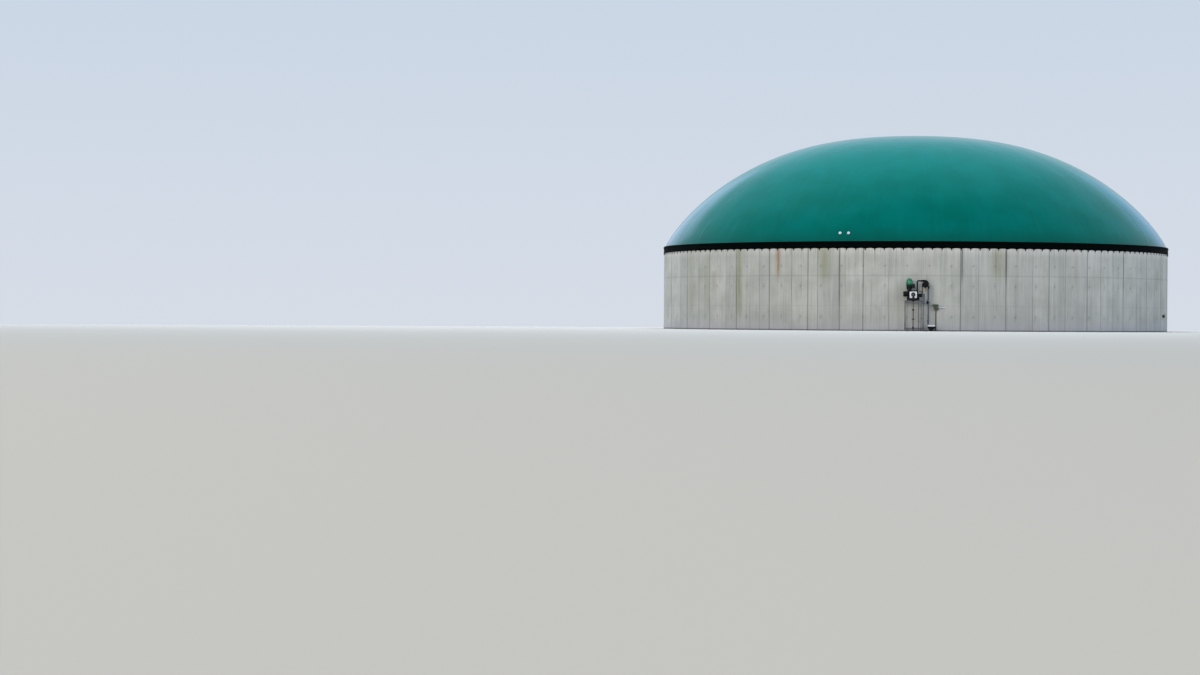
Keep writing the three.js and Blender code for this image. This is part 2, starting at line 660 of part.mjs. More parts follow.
// The riser that feeds the blower, its wall clamp, and the brass drain valve under the blower
function addRiser() {
  const y = outFromWall(BLOWER_OUT);
  const valveTop = DRAIN_BOSS_BOTTOM - SEAT;
  const leverHeight = valveTop - DRAIN_LEVER.drop;
  const leverFront = y - DRAIN_LEVER.out;
  const { x, neck, body, outlet, shoulder, chamfer, waist, length, stem } = DRAIN_VALVE;
  const barrel = turned([
    [0, valveTop],
    [neck, valveTop],
    [neck, valveTop - shoulder],
    [body, valveTop - shoulder - chamfer],
    [body, valveTop - waist],
    [outlet, valveTop - waist - chamfer],
    [outlet, valveTop - length],
    [0, valveTop - length],
  ], 20);
  const valve = joined(
    barrel.translate(x, y, 0),
    alongY(stem, y, leverFront, x, leverHeight, 12),
    box(
      x - DRAIN_LEVER.half,
      x + DRAIN_LEVER.length,
      leverFront + DRAIN_LEVER.thickness,
      leverFront,
      leverHeight - DRAIN_LEVER.half,
      leverHeight + DRAIN_LEVER.half,
    ),
  );
  add('drain_valve', valve, materials.brass);

  const flangeRadius = RISER_RADIUS + RISER_FLANGE.width;
  const foot = LID_TOP + SEAT;
  const valveMiddle = (RISER_VALVE.bottom + RISER_VALVE.top) / 2;
  const handleHalf = RISER_VALVE.leverSide / 2;
  const handleBack = y - RISER_VALVE.leverOut;
  const riser = joined(
    alongZ(RISER_RADIUS, foot, RISER_TOP, RISER_X, y),
    alongZ(flangeRadius, RISER_TOP - RISER_FLANGE.thickness, RISER_TOP, RISER_X, y),
    alongZ(flangeRadius, foot, foot + RISER_FLANGE.thickness, RISER_X, y),
    alongZ(RISER_VALVE.radius, RISER_VALVE.bottom, RISER_VALVE.top, RISER_X, y),
    box(
      RISER_X - RISER_VALVE.lever,
      RISER_X,
      handleBack,
      handleBack - RISER_VALVE.leverSide,
      valveMiddle - handleHalf,
      valveMiddle + handleHalf,
    ),
  );
  add('riser_pipe', riser, materials.pipe);

  const { height, band, half, arm, plate, rise } = CLAMP;
  const left = RISER_X - plate;
  const right = RISER_X + plate;
  const back = wallFace(left) - SEAT;
  const clamp = cut(
    joined(
      alongZ(RISER_RADIUS + band, height - half, height + half, RISER_X, y),
      box(RISER_X - arm, RISER_X + arm, back, y, height - arm, height + arm),
      box(left, right, back, back - band, height - rise, height + rise),
      box(
        RISER_X - CLAMP_LUG.left,
        RISER_X - CLAMP_LUG.right,
        y + CLAMP_LUG.half,
        y - CLAMP_LUG.half,
        CLAMP_LUG.bottom,
        CLAMP_LUG.top,
      ),
    ),
    alongZ(RISER_RADIUS + SEAT, CLAMP_LUG.bottom - band, CLAMP_LUG.top + band, RISER_X, y),
  );
  add('riser_clamp', clamp, materials.blackCasting);
}

// Condensate pit on the ground before the wall: a narrow foot that flares to the collar under its lid
function addPit() {
  const back = outFromWall(PIT.back);
  const lidBottom = PIT.height + SEAT;
  const collarInset = PIT_LID.out - PIT.out;
  const front = new THREE.Shape([
    new THREE.Vector2(PIT.left, 0),
    new THREE.Vector2(PIT.right, 0),
    new THREE.Vector2(PIT.right, PIT.collar - PIT.flare),
    new THREE.Vector2(PIT_LID.right, PIT.collar),
    new THREE.Vector2(PIT_LID.right, PIT.height),
    new THREE.Vector2(PIT_LID.left, PIT.height),
    new THREE.Vector2(PIT_LID.left, PIT.collar),
    new THREE.Vector2(PIT.left, PIT.collar - PIT.flare),
  ]);
  const base = new THREE.ExtrudeGeometry(front, { depth: PIT.out - PIT.back, bevelEnabled: false });
  add('pit_base', base.rotateX(Math.PI / 2).translate(0, back, 0), materials.blackCasting);
  const lidFront = outFromWall(PIT.out + collarInset);
  const lid = box(PIT_LID.left, PIT_LID.right, back, lidFront, lidBottom, LID_TOP);
  add('pit_lid', lid, materials.enamel);
}

// Two junction boxes on a post that is fixed to the wall, and the conduit that leaves them
function addJunctionBoxes() {
  const half = POST.width / 2;
  const back = wallFace(POST.x - half) - SEAT;
  const front = back - POST.depth;
  add('junction_post', box(POST.x - half, POST.x + half, back, front, 0, POST.height), materials.pipe);
  const boxBack = front - SEAT;
  for (const [level, { left, right, bottom, height }] of Object.entries(JUNCTION_BOXES)) {
    const body = box(left, right, boxBack, boxBack - JUNCTION_BOX_DEPTH, bottom, bottom + height);
    add(`junction_box_${level}`, body, materials.greyPlastic);
  }
  const conduitHeight = JUNCTION_BOXES.lower.bottom + CONDUIT_RISE;
  const conduitY = boxBack - JUNCTION_BOX_DEPTH / 2;
  const conduitStart = JUNCTION_BOXES.lower.right + SEAT;
  const conduit = joined(
    alongX(CONDUIT_RADIUS, conduitStart, CONDUIT_END_X, conduitY, conduitHeight, 16),
    new THREE.SphereGeometry(CONDUIT_RADIUS, 16, 10).translate(CONDUIT_END_X, conduitY, conduitHeight),
    alongY(
      CONDUIT_RADIUS,
      wallFace(CONDUIT_END_X - CONDUIT_RADIUS) - SEAT,
      conduitY,
      CONDUIT_END_X,
      conduitHeight,
      16,
    ),
  );
  add('conduit_arm', conduit, materials.zinc);
}

// Short nozzle low on the wall, closed by a blind flange
function addNozzle() {
  const bay = new THREE.Group();
  bay.rotation.z = radians(NOZZLE_ANGLE);
  digester.add(bay);
  const face = -TANK_RADIUS * Math.cos(radians(WALL_FACET / 2)) - SEAT;
  const flangeBack = face - NOZZLE_LENGTH + NOZZLE_FLANGE_THICKNESS;
  const nozzle = joined(
    alongY(NOZZLE_RADIUS, face, face - NOZZLE_LENGTH, 0, NOZZLE_HEIGHT),
    alongY(NOZZLE_FLANGE_RADIUS, flangeBack, face - NOZZLE_LENGTH, 0, NOZZLE_HEIGHT),
  );
  add('wall_nozzle', nozzle, materials.blackCasting, bay);
}

addTank();
addRimBand();
addDome();
addSightPorts();
addStand();
addServicePipes();
addDrive();
addBlower();
addRiser();
addPit();
addJunctionBoxes();
addNozzle();

export default digester;
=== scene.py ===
import collections
import math

import bpy
import numpy as np
from mathutils import Matrix, Vector


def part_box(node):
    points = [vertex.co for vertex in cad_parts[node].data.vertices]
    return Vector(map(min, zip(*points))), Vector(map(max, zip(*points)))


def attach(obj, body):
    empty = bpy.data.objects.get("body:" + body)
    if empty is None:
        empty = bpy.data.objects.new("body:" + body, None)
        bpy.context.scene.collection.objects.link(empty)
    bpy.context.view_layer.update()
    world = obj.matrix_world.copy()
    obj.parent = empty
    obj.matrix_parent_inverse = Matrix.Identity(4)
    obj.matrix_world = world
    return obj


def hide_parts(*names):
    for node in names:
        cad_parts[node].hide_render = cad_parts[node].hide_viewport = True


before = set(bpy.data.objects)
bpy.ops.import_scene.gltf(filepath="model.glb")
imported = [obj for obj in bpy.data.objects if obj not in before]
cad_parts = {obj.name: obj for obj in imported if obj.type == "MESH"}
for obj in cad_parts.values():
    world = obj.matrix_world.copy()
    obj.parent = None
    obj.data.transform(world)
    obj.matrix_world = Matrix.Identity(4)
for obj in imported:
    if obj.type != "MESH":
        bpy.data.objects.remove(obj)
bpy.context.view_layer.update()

# Camera
# A long lens stands 158 m in front of the tank, low over the ground, and looks to its left, so that the tank
# fills the right half of the picture. Its dip and its small roll were fitted to the rim and the ground line.
camera_distance = 157.894
camera_height = 0.6045
camera_turn = math.radians(6.854)
camera_dip = math.radians(0.43)
camera_roll = math.radians(0.352)

camera = bpy.data.objects.new("camera", bpy.data.cameras.new("camera"))
camera.data.sensor_width = 36.0
camera.data.lens = 78.0
camera.data.clip_end = 5000.0
camera.matrix_world = (
    Matrix.Translation((0, -camera_distance, camera_height))
    @ Matrix.Rotation(camera_turn, 4, "Z")
    @ Matrix.Rotation(math.pi / 2 - camera_dip, 4, "X")
    @ Matrix.Rotation(camera_roll, 4, "Z")
)
bpy.context.collection.objects.link(camera)
bpy.context.scene.camera = camera
bpy.context.scene.view_settings.view_transform = "Standard"


# Studio
# A pale floor runs out under an even, slightly blue dome of light, and melts into its haze far behind the
# tank. One softbox hangs high over the crown, a warm key and a cool fill stand in front, and two behind the
# tank are mirrored in the edges of the membrane: a silvery one on its left and a blue one on its right.
def linear(code):
    """Turns an sRGB hex colour into the linear RGBA values that shaders use."""
    srgb = np.array([int(code[i : i + 2], 16) for i in (1, 3, 5)]) / 255
    value = np.where(srgb <= 0.04045, srgb / 12.92, ((srgb + 0.055) / 1.055) ** 2.4)
    return (*value.tolist(), 1.0)


def add_node(tree, kind, inputs=None, **settings):
    """Adds a shader node with its settings; inputs gives each socket a value or the output that feeds it."""
    node = tree.nodes.new(kind)
    for name, value in settings.items():
        setattr(node, name, value)
    for socket, value in (inputs or {}).items():
        if isinstance(value, bpy.types.NodeSocket):
            tree.links.new(value, node.inputs[socket])
        else:
            node.inputs[socket].default_value = value
    return node


def new_material(name, sockets):
    """Starts a material: one Principled shader with its sockets set by name, and the piece's coordinates."""
    material = bpy.data.materials.new(name)
    material.use_nodes = True
    tree = material.node_tree
    shader = tree.nodes["Principled BSDF"]
    for socket, value in sockets.items():
        shader.inputs[socket].default_value = value
    return material, tree, shader, add_node(tree, "ShaderNodeTexCoord").outputs["Object"]


def layered(tree, base, *coats):
    """Lays coats over a base colour, one by one: each has a colour, a strength and the outputs it follows.

    Such an output runs from 0 to 1, or is given as (output, low, high) and counts from 0 at low to 1 at high
    along an S curve. A coat's share is its strength times all of them.
    """
    colour = linear(base)
    for over, share, *followed in coats:
        for field in followed:
            if isinstance(field, tuple):
                limits = dict(zip(("Value", "From Min", "From Max"), field))
                eased_in = add_node(tree, "ShaderNodeMapRange", limits, interpolation_type="SMOOTHSTEP")
                field = eased_in.outputs["Result"]
            product = add_node(tree, "ShaderNodeMath", {0: share, 1: field}, operation="MULTIPLY")
            share = product.outputs["Value"]
        inputs = {"Factor": share, 6: colour, 7: linear(over)}
        colour = add_node(tree, "ShaderNodeMix", inputs, data_type="RGBA").outputs[2]
    return colour


def soft_light(name, place, target, size, power, colour, mirrored=True):
    """A rectangular softbox that faces its target, unseen by the camera and, unless mirrored, by gloss."""
    lamp = bpy.data.lights.new(name, "AREA")
    lamp.shape = "RECTANGLE"
    lamp.size, lamp.size_y = size
    lamp.energy = power
    lamp.color = linear(colour)[:3]
    holder = bpy.data.objects.new(name, lamp)
    aim = (Vector(target) - Vector(place)).to_track_quat("-Z", "Y")
    holder.matrix_world = Matrix.Translation(place) @ aim.to_matrix().to_4x4()
    holder.visible_camera = False
    holder.visible_glossy = mirrored
    bpy.context.collection.objects.link(holder)


world = bpy.data.worlds.new("studio")
world.use_nodes = True
sky = world.node_tree
direction = add_node(sky, "ShaderNodeTexCoord")
parts = add_node(sky, "ShaderNodeSeparateXYZ", {"Vector": direction.outputs["Generated"]})
low_sky = add_node(sky, "ShaderNodeMapRange", {"Value": parts.outputs["Z"], "From Max": 0.45})
high_sky = add_node(sky, "ShaderNodeMapRange", {"Value": parts.outputs["Z"], "From Min": 0.4})
haze = "#e6edf8"
above_haze = ("#b4d3f2", 1.0, low_sky.outputs["Result"])
zenith = ("#5b86a4", 1.0, high_sky.outputs["Result"])
sky_strength = 0.85
sky.nodes["Background"].inputs["Strength"].default_value = sky_strength
sky.links.new(layered(sky, haze, above_haze, zenith), sky.nodes["Background"].inputs["Color"])
bpy.context.scene.world = world

soft_light("overhead", (-20, 60, 150), (0, 0, 4), (160, 120), 600000, "#eef5ff", mirrored=False)
soft_light("key", (-60, -170, 60), (0, 0, 4), (130, 70), 110000, "#fff1dc")
soft_light("fill", (150, -110, 50), (0, 0, 4), (80, 60), 56000, "#dfe9ff", mirrored=False)
soft_light("left_edge", (-95, 176, 60), (-10, 0, 8), (90, 66), 11500, "#c3c8ff")
soft_light("right_edge", (84, 180, 58), (10, 0, 8), (66, 56), 6200, "#5f97e6")

floor_radius = 1500.0
floor_drop = 0.004
floor_sides = 128
haze_start, haze_end = 78.0, 106.0
floor_turn = np.linspace(0, 2 * np.pi, floor_sides, endpoint=False)
floor_points = [
    (floor_radius * np.cos(turn), floor_radius * np.sin(turn), -floor_drop) for turn in floor_turn
]
floor_mesh = bpy.data.meshes.new("studio_floor")
floor_mesh.from_pydata(floor_points, [], [list(range(floor_sides))])
studio_floor = bpy.data.objects.new("studio_floor", floor_mesh)
bpy.context.collection.objects.link(studio_floor)
matt = {"Roughness": 0.9, "Specular IOR Level": 0.0, "Emission Color": linear(haze)}
floor_paint, tree, shader, place = new_material("pale_floor", matt)
from_middle = {0: place, 1: (0.0, -75.0, 0.0)}
distance = add_node(tree, "ShaderNodeVectorMath", from_middle, operation="DISTANCE").outputs["Value"]
melting = ("#000000", 1.0, (distance, haze_start, haze_end))
tree.links.new(layered(tree, "#aca8a1", melting), shader.inputs["Base Color"])
limits = {"Value": distance, "From Min": haze_start, "From Max": haze_end, "To Max": sky_strength}
glow = add_node(tree, "ShaderNodeMapRange", limits, interpolation_type="SMOOTHSTEP")
tree.links.new(glow.outputs["Result"], shader.inputs["Emission Strength"])
floor_mesh.materials.append(floor_paint)


# Floor slab
# Reinforced concrete, power-floated flat inside the ring of the wall, where the slurry and the roof hide it.
# Its solid is already the right shape, so it keeps its node and takes a fine grey concrete.
def noise(tree, place, size, detail=4.0, stretch=(1, 1, 1), roughness=0.55):
    """A noise field whose blotches are size metres wide, times the stretch along each axis."""
    squeeze = [1 / (size * factor) for factor in stretch]
    mapped = add_node(tree, "ShaderNodeMapping", {"Vector": place, "Scale": squeeze})
    field = add_node(
        tree,
        "ShaderNodeTexNoise",
        {"Vector": mapped.outputs["Vector"], "Scale": 1.0, "Detail": detail, "Roughness": roughness},
    )
    return field.outputs["Fac"]


def bump(tree, shader, *layers):
    """Stacks bump layers, each a height field and its depth in metres, and feeds the last to the shader."""
    normal = None
    for height, depth in layers:
        inputs = {"Height": height, "Distance": depth}
        if normal:
            inputs["Normal"] = normal
        normal = add_node(tree, "ShaderNodeBump", inputs).outputs["Normal"]
    tree.links.new(normal, shader.inputs["Normal"])


def floated_concrete():
    """Power-floated concrete: a tight grey skin with faint clouds 0.6 m wide and 12 mm grit."""
    material, tree, shader, place = new_material("power_floated_concrete", {"Roughness": 0.75})
    clouds = ("#a9a8a2", 1.0, (noise(tree, place, 0.6), 0.3, 0.7))
    tree.links.new(layered(tree, "#8f8f8a", clouds), shader.inputs["Base Color"])
    bump(tree, shader, (noise(tree, place, 0.012, 2.0), 0.001))
    return material


tank_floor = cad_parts["tank_floor"]
tank_floor.data.materials.clear()
tank_floor.data.materials.append(floated_concrete())

# Tank wall
# Reinforced concrete cast in place between steel formwork, 4.9 m high and 250 mm thick. The panels left a V
# joint between each two and the cone of each tie, and every 30 degree length is a surface of angle and
# height.
Shape = collections.namedtuple("Shape", "points corners sizes paint")


def skin(points, wrap_rows=False, wrap_columns=False, caps=False, paint=0):
    """Covers a grid of points, rows x columns x 3, with one quad a cell; flat caps may close its open ends.

    Faces look outwards where columns run anticlockwise, seen from the top, and rows run upwards.
    """
    rows, columns = points.shape[:2]
    row, column = np.meshgrid(
        np.arange(rows if wrap_rows else rows - 1),
        np.arange(columns if wrap_columns else columns - 1),
        indexing="ij",
    )
    above, beside = (row + 1) % rows, (column + 1) % columns
    lower, upper = row * columns, above * columns
    quads = np.stack([lower + column, lower + beside, upper + beside, upper + column], -1).reshape(-1, 4)
    corners, sizes = [quads.ravel()], [np.full(len(quads), 4)]
    if caps:
        number = np.arange(rows * columns).reshape(rows, columns)
        ends = (number[0, ::-1], number[-1]) if wrap_columns else (number[:, 0], number[::-1, -1])
        corners += ends
        sizes += [[len(end)] for end in ends]
    sizes = np.concatenate(sizes)
    return Shape(points.reshape(-1, 3), np.concatenate(corners), sizes, np.full(len(sizes), paint))


def make_piece(name, shape, *materials, smooth_below=32):
    """A mesh object at the origin, smooth where its faces meet at less than smooth_below degrees."""
    mesh = bpy.data.meshes.new(name)
    mesh.vertices.add(len(shape.points))
    mesh.vertices.foreach_set("co", shape.points.astype(np.float32).ravel())
    mesh.loops.add(len(shape.corners))
    mesh.loops.foreach_set("vertex_index", shape.corners.astype(np.int32))
    mesh.polygons.add(len(shape.sizes))
    mesh.polygons.foreach_set("loop_start", np.append(0, np.cumsum(shape.sizes)[:-1]).astype(np.int32))
    for material in materials:
        mesh.materials.append(material)
    mesh.polygons.foreach_set("material_index", shape.paint.astype(np.int32))
    mesh.update(calc_edges=True)
    mesh.shade_smooth()
    mesh.set_sharp_from_angle(angle=math.radians(smooth_below))
    piece = bpy.data.objects.new(name, mesh)
    bpy.context.collection.objects.link(piece)
    return piece


def note(piece, name, first, second, third):
    """Stores three values for each point of a piece as one named attribute."""
    values = np.stack([first, second, third], -1).astype(np.float32)
    piece.data.attributes.new(name, "FLOAT_VECTOR", "POINT").data.foreach_set("vector", values.ravel())


def read_note(tree, name):
    """The three values that a piece's points store under a name."""
    stored = add_node(tree, "ShaderNodeAttribute", attribute_name=name).outputs["Vector"]
    apart = add_node(tree, "ShaderNodeSeparateXYZ", {"Vector": stored})
    return [apart.outputs[axis] for axis in "XYZ"]


def fit(piece, slot, *nodes):
    """Fixes a piece to the plant in place of its solids. The slot is not used."""
    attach(piece, "root")
    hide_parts(*nodes)


def smoothstep(value, low, high):
    """Rises from 0 at low to 1 at high along an S curve."""
    t = np.clip((value - low) / (high - low), 0, 1)
    return t * t * (3 - 2 * t)


def on_circle(radius, degrees, height):
    """Points at a radius, an angle from the front that grows to the right, and a height."""
    turn = np.radians(degrees)
    return np.stack(np.broadcast_arrays(radius * np.sin(turn), -radius * np.cos(turn), height), -1)


def nearest(values, marks, period):
    """The distance from each value to the mark that lies nearest to it on a circle of that period."""
    gap = np.abs(values[..., None] - np.asarray(marks)) % period
    return np.minimum(gap, period - gap).min(-1)


def lines_between(low, high, spacing, marks, offsets):
    """Grid lines between two limits: an even spacing, and a cluster at the offsets from each mark."""
    even = np.linspace(low, high, int(round((high - low) / spacing)) + 1)
    clusters = (np.asarray(marks)[:, None] + np.asarray(offsets)).ravel()
    lines = np.unique(np.concatenate([even, clusters[(clusters > low) & (clusters < high)]]))
    kept = np.append(True, np.diff(lines) > 0.002 * spacing)
    return np.append(lines[kept][:-1], high)


wall_nodes = sorted(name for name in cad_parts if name.startswith("wall_segment"))
tank_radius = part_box("wall_segment_04")[1][0]
wall_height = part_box("wall_segment_04")[1][2]
wall_inner_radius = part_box("tank_floor")[1][0]
wall_start = -10.0
wall_span = 360.0 / len(wall_nodes)
wall_bevel = 0.012
hairline = math.degrees(0.0002 / tank_radius)
arc_per_degree = math.radians(1) * tank_radius

# Panel joints in degrees from the front, read off the wall where it shows, and every 10 degrees behind
seen_joints = [-70.5, -59.9, -50.3, -41.2, -32.0, -22.6, -15.5, -10.4]
seen_joints += [9.9, 19.7, 29.7, 39.8, 51.5, 61.8, 71.5]
panel_joints = np.array(seen_joints + list(range(80, 281, 10)), float)
seen_seams = [-64.0, -54.5, -44.5, -34.6, -26.4, -20.4, -5.0, 13.7, 25.8, 33.8, 43.8, 47.8, 57.0, 66.5]
panel_seams = np.array(seen_seams + list(range(84, 281, 10)), float)
all_joints = np.sort(np.concatenate([panel_joints, panel_seams]) % 360)
joint_half_width = 0.008
joint_depth = 0.006
lift_joint, faint_joint = 3.02, 1.365
panel_step = 0.0025
tie_spacing = 360.0 / 78
tie_offset = 3.4
tie_heights = [0.75, 2.45, 3.56]
tie_mouth = 0.032
tie_root = 0.012
tie_depth = 0.02

panel_random = np.random.default_rng(12)
panel_steps = panel_random.uniform(-panel_step, panel_step, len(all_joints))
panel_tints = panel_random.uniform(0, 1, len(all_joints))


def gaps_on_wall(angle, height):
    """Metres along the wall from each point to the nearest joint, seam, lift joint and tie hole."""
    joint = nearest(angle, panel_joints, 360) * arc_per_degree
    seam = nearest(angle, panel_seams, 360) * arc_per_degree
    lift = np.minimum(np.abs(height - lift_joint), np.abs(height - faint_joint) + 0.015)
    across = nearest(angle, [tie_offset], tie_spacing) * arc_per_degree
    tie = np.hypot(across, nearest(height, tie_heights, 100.0))
    return joint, seam, lift, tie


def wall_relief(angle, height):
    """How far the face lies behind a true cylinder: a V at each joint, a cone at each tie and panel steps."""
    joint, seam, lift, tie = gaps_on_wall(angle, height)
    groove = np.clip(1 - joint / joint_half_width, 0, 1)
    groove = np.maximum(groove, 0.6 * np.clip(1 - seam / joint_half_width, 0, 1))
    groove = np.maximum(groove, 0.5 * np.clip(1 - lift / joint_half_width, 0, 1))
    cone = tie_depth * np.clip((tie_mouth - tie) / (tie_mouth - tie_root), 0, 1)
    step = panel_step - panel_steps[np.searchsorted(all_joints, angle % 360) % len(all_joints)]
    return np.maximum(joint_depth * groove, cone) + step


# Streaks that run down the wall: angle, half width in degrees, top and foot height, and strength
olive_streaks = [(-40.4, 0.8, 4.6, 0.9, 1.0), (-18.8, 1.3, 4.5, 2.8, 0.8), (-51.5, 1.6, 4.2, 1.5, 0.4)]
olive_streaks += [(68.4, 1.3, 3.5, 2.4, 0.4), (-58.0, 1.4, 4.4, 0.8, 0.4), (18.0, 1.4, 4.4, 2.9, 0.7)]
rust_streaks = [(-29.8, 0.5, 4.45, 3.0, 1.0), (-48.5, 0.7, 3.2, 2.2, 0.3), (36.6, 0.5, 4.4, 2.6, 0.25)]
dark_streaks = [(10.2, 0.16, 4.5, 2.8, 1.0), (19.7, 0.18, 4.5, 2.7, 0.9), (-15.5, 0.2, 4.4, 1.6, 0.5)]
dark_streaks += [(17.4, 0.15, 4.4, 3.4, 0.4), (-4.5, 0.15, 4.4, 3.2, 0.35), (51.5, 0.2, 4.4, 2.0, 0.5)]


def streaks(marks, angle, height):
    """The strongest of the streaks at each point: a bell across each, which fades at its top and its foot.

    The same marks come again, weaker, twice more round the wall, on the sides that face away from the front.
    """
    total = np.zeros_like(angle)
    for turn, weight in ((0, 1.0), (131, 0.8), (238, 0.7)):
        for centre, width, top, foot, strength in marks:
            off = (angle - centre - turn + 180) % 360 - 180
            reach = smoothstep(height, foot - 0.5, foot + 0.6) * smoothstep(height, top + 0.15, top - 0.1)
            total = np.maximum(total, weight * strength * np.exp(-((off / width) ** 2)) * reach)
    return total


def cast_concrete():
    """Concrete cast against steel formwork and weathered: matt, grey-beige, with streaks, pores and stains.

    Clouds are 1.1 m wide, rain streaks 50 to 280 mm wide and several metres long, pores stand 60 mm apart,
    and the 4 mm sand grain is drawn three times as coarse so that it shows. Painted shade darkens the cones
    of the ties and the last 90 mm above the ground.
    """
    sockets = {"Roughness": 0.88, "Specular IOR Level": 0.35}
    material, tree, shader, place = new_material("formwork_cast_concrete", sockets)
    height = add_node(tree, "ShaderNodeSeparateXYZ", {"Vector": place}).outputs["Z"]
    joint, tie_shade, tint = read_note(tree, "darkening")
    olive, rust, dark = read_note(tree, "stain")
    clouds = noise(tree, place, 1.1, 6.0)
    broad_rain = noise(tree, place, 0.28, 5.0, (1, 1, 22), 0.62)
    thin_rain = noise(tree, place, 0.05, 3.0, (1, 1, 60), 0.6)
    sand = noise(tree, place, 0.012, 3.0)
    breakup = noise(tree, place, 0.11, 5.0, (1, 1, 8), 0.7)
    limits = {"Value": breakup, "From Min": 0.25, "From Max": 0.55, "To Min": 0.35}
    torn = add_node(tree, "ShaderNodeMapRange", limits, interpolation_type="SMOOTHSTEP")
    ragged = torn.outputs["Result"]
    colour = layered(
        tree,
        "#b2b0a7",
        ("#c3c1b8", 1.0, (clouds, 0.32, 0.68)),
        ("#a5a49e", 0.5, tint),
        ("#8a8b86", 0.28, (broad_rain, 0.5, 0.72)),
        ("#cbc9c1", 0.3, (broad_rain, 0.5, 0.3)),
        ("#7f807a", 0.5, (thin_rain, 0.55, 0.72)),
        ("#d6d4cd", 0.35, (thin_rain, 0.45, 0.3)),
        ("#7d7d78", 0.3, (sand, 0.5, 0.8)),
        ("#dcd6cf", 0.6, (height, 4.05, 4.5), (thin_rain, 0.7, 0.4)),
        ("#c0bbc6", 0.4, (height, 0.75, 0.1), ragged),
        # painted shade: the last 90 mm above the ground drawn darker, where the wall meets it
        ("#3c3b38", 0.75, (height, 0.09, 0.015)),
        ("#85835c", 0.75, olive, ragged),
        ("#97693f", 0.85, rust, ragged),
        ("#464641", 0.85, dark, ragged),
        ("#4e4e4a", 0.75, joint),
        # painted shade: the cones of the ties drawn darker
        ("#464540", 0.55, tie_shade),
    )
    tree.links.new(colour, shader.inputs["Base Color"])

    pores = add_node(tree, "ShaderNodeTexVoronoi", {"Vector": place, "Scale": 1 / 0.06})
    limits = {"Value": pores.outputs["Distance"], "From Min": 0.02, "From Max": 0.12}
    pits = add_node(tree, "ShaderNodeMapRange", limits, interpolation_type="SMOOTHSTEP")
    bump(tree, shader, (sand, 0.001), (pits.outputs["Result"], 0.002))
    return material


wall_concrete = cast_concrete()
joint_offsets = np.array([-0.09, -0.03, -joint_half_width, 0, joint_half_width, 0.03, 0.09])
tie_offsets = np.array([-tie_mouth, -0.022, -tie_root, tie_root, 0.022, tie_mouth])
tie_columns = tie_offset + tie_spacing * np.arange(-4, 80)
wall_levels = lines_between(0.0, wall_height - wall_bevel, 0.25, tie_heights, tie_offsets)
lift_levels = np.add.outer([lift_joint, faint_joint], [-0.03, -joint_half_width, 0, joint_half_width, 0.03])
wall_levels = np.union1d(wall_levels, [*lift_levels.ravel(), 0.02, 0.06, 0.12])
joint_columns = np.concatenate([all_joints, all_joints - 360, all_joints + 360])

for number, node in enumerate(wall_nodes):
    start, end = wall_start + number * wall_span, wall_start + (number + 1) * wall_span
    columns = lines_between(start, end, 0.6, joint_columns, joint_offsets / arc_per_degree)
    columns = np.union1d(columns, lines_between(start, end, 0.6, tie_columns, tie_offsets / arc_per_degree))
    columns[0], columns[-1] = start + hairline, end - hairline
    angle, height = np.meshgrid(columns, wall_levels)
    face = on_circle(tank_radius - wall_relief(angle, height), angle, height)
    top = on_circle(tank_radius - wall_bevel, columns, wall_height)
    inner_top = on_circle(wall_inner_radius, columns, wall_height)
    inner_foot = on_circle(wall_inner_radius, columns, 0.0)
    section = np.concatenate([face, [top, inner_top, inner_foot]])
    wall = make_piece("cast_wall_" + node[-2:], skin(section, wrap_rows=True, caps=True), wall_concrete)
    angle, height = np.broadcast_arrays(columns, section[..., 2])
    joint, seam, lift, tie = gaps_on_wall(angle, height)
    joint_shade = np.maximum(np.exp(-((joint / 0.022) ** 2)), 0.5 * np.exp(-((seam / 0.02) ** 2)))
    joint_shade = np.maximum(joint_shade, 0.35 * np.exp(-((lift / 0.02) ** 2)))
    tint = panel_tints[np.searchsorted(all_joints, angle % 360) % len(all_joints)]
    # the second value, a bell 34 mm wide round each tie, is painted shade in the tie cones
    note(wall, "darkening", joint_shade.ravel(), np.exp(-((tie / 0.034) ** 2)).ravel(), tint.ravel())
    stains = [streaks(marks, angle, height).ravel() for marks in (olive_streaks, rust_streaks, dark_streaks)]
    note(wall, "stain", *stains)
    fit(wall, "concrete", node)


# Clamping band
# The black rubber skirt that hangs over the rim of the wall and seals the membrane to it. A steel strip
# under its top edge and an anchor every two degrees hold it, and its lower hem rises a little between the
# anchors.
def joined(*shapes):
    """One shape from several: the corners of each count on from the points before them."""
    starts = np.cumsum([0] + [len(shape.points) for shape in shapes[:-1]])
    return Shape(
        np.concatenate([shape.points for shape in shapes]),
        np.concatenate([shape.corners + start for shape, start in zip(shapes, starts)]),
        np.concatenate([shape.sizes for shape in shapes]),
        np.concatenate([shape.paint for shape in shapes]),
    )


def dress(node, slot, name, shapes, *materials):
    """Makes one piece of several shapes and fixes it in place of a solid."""
    fit(make_piece(name, joined(*shapes), *materials), slot, node)


def copies(shape, frames):
    """A shape repeated at each 4x4 frame of a stack, all as one shape."""
    frames = np.reshape(frames, (-1, 4, 4))
    points = np.einsum("nij,pj->npi", frames[:, :3, :3], shape.points) + frames[:, None, :3, 3]
    starts = np.arange(len(frames))[:, None] * len(shape.points)
    corners = (shape.corners + starts).ravel()
    sizes, paint = np.tile(shape.sizes, len(frames)), np.tile(shape.paint, len(frames))
    return Shape(points.reshape(-1, 3), corners, sizes, paint)


front, left, right = (0, -1, 0), (-1, 0, 0), (1, 0, 0)
up, down = (0, 0, 1), (0, 0, -1)


def facing(place, axis):
    """A 4x4 frame at a place: its Z runs along the axis, its Y upwards or, if Z is upright, to the back."""
    z = np.array(axis, float) / np.linalg.norm(axis)
    x = np.cross((0, 1, 0) if abs(z[2]) > 0.9 else up, z)
    x /= np.linalg.norm(x)
    made = np.eye(4)
    made[:3] = np.stack([x, np.cross(z, x), z, place], -1)
    return made


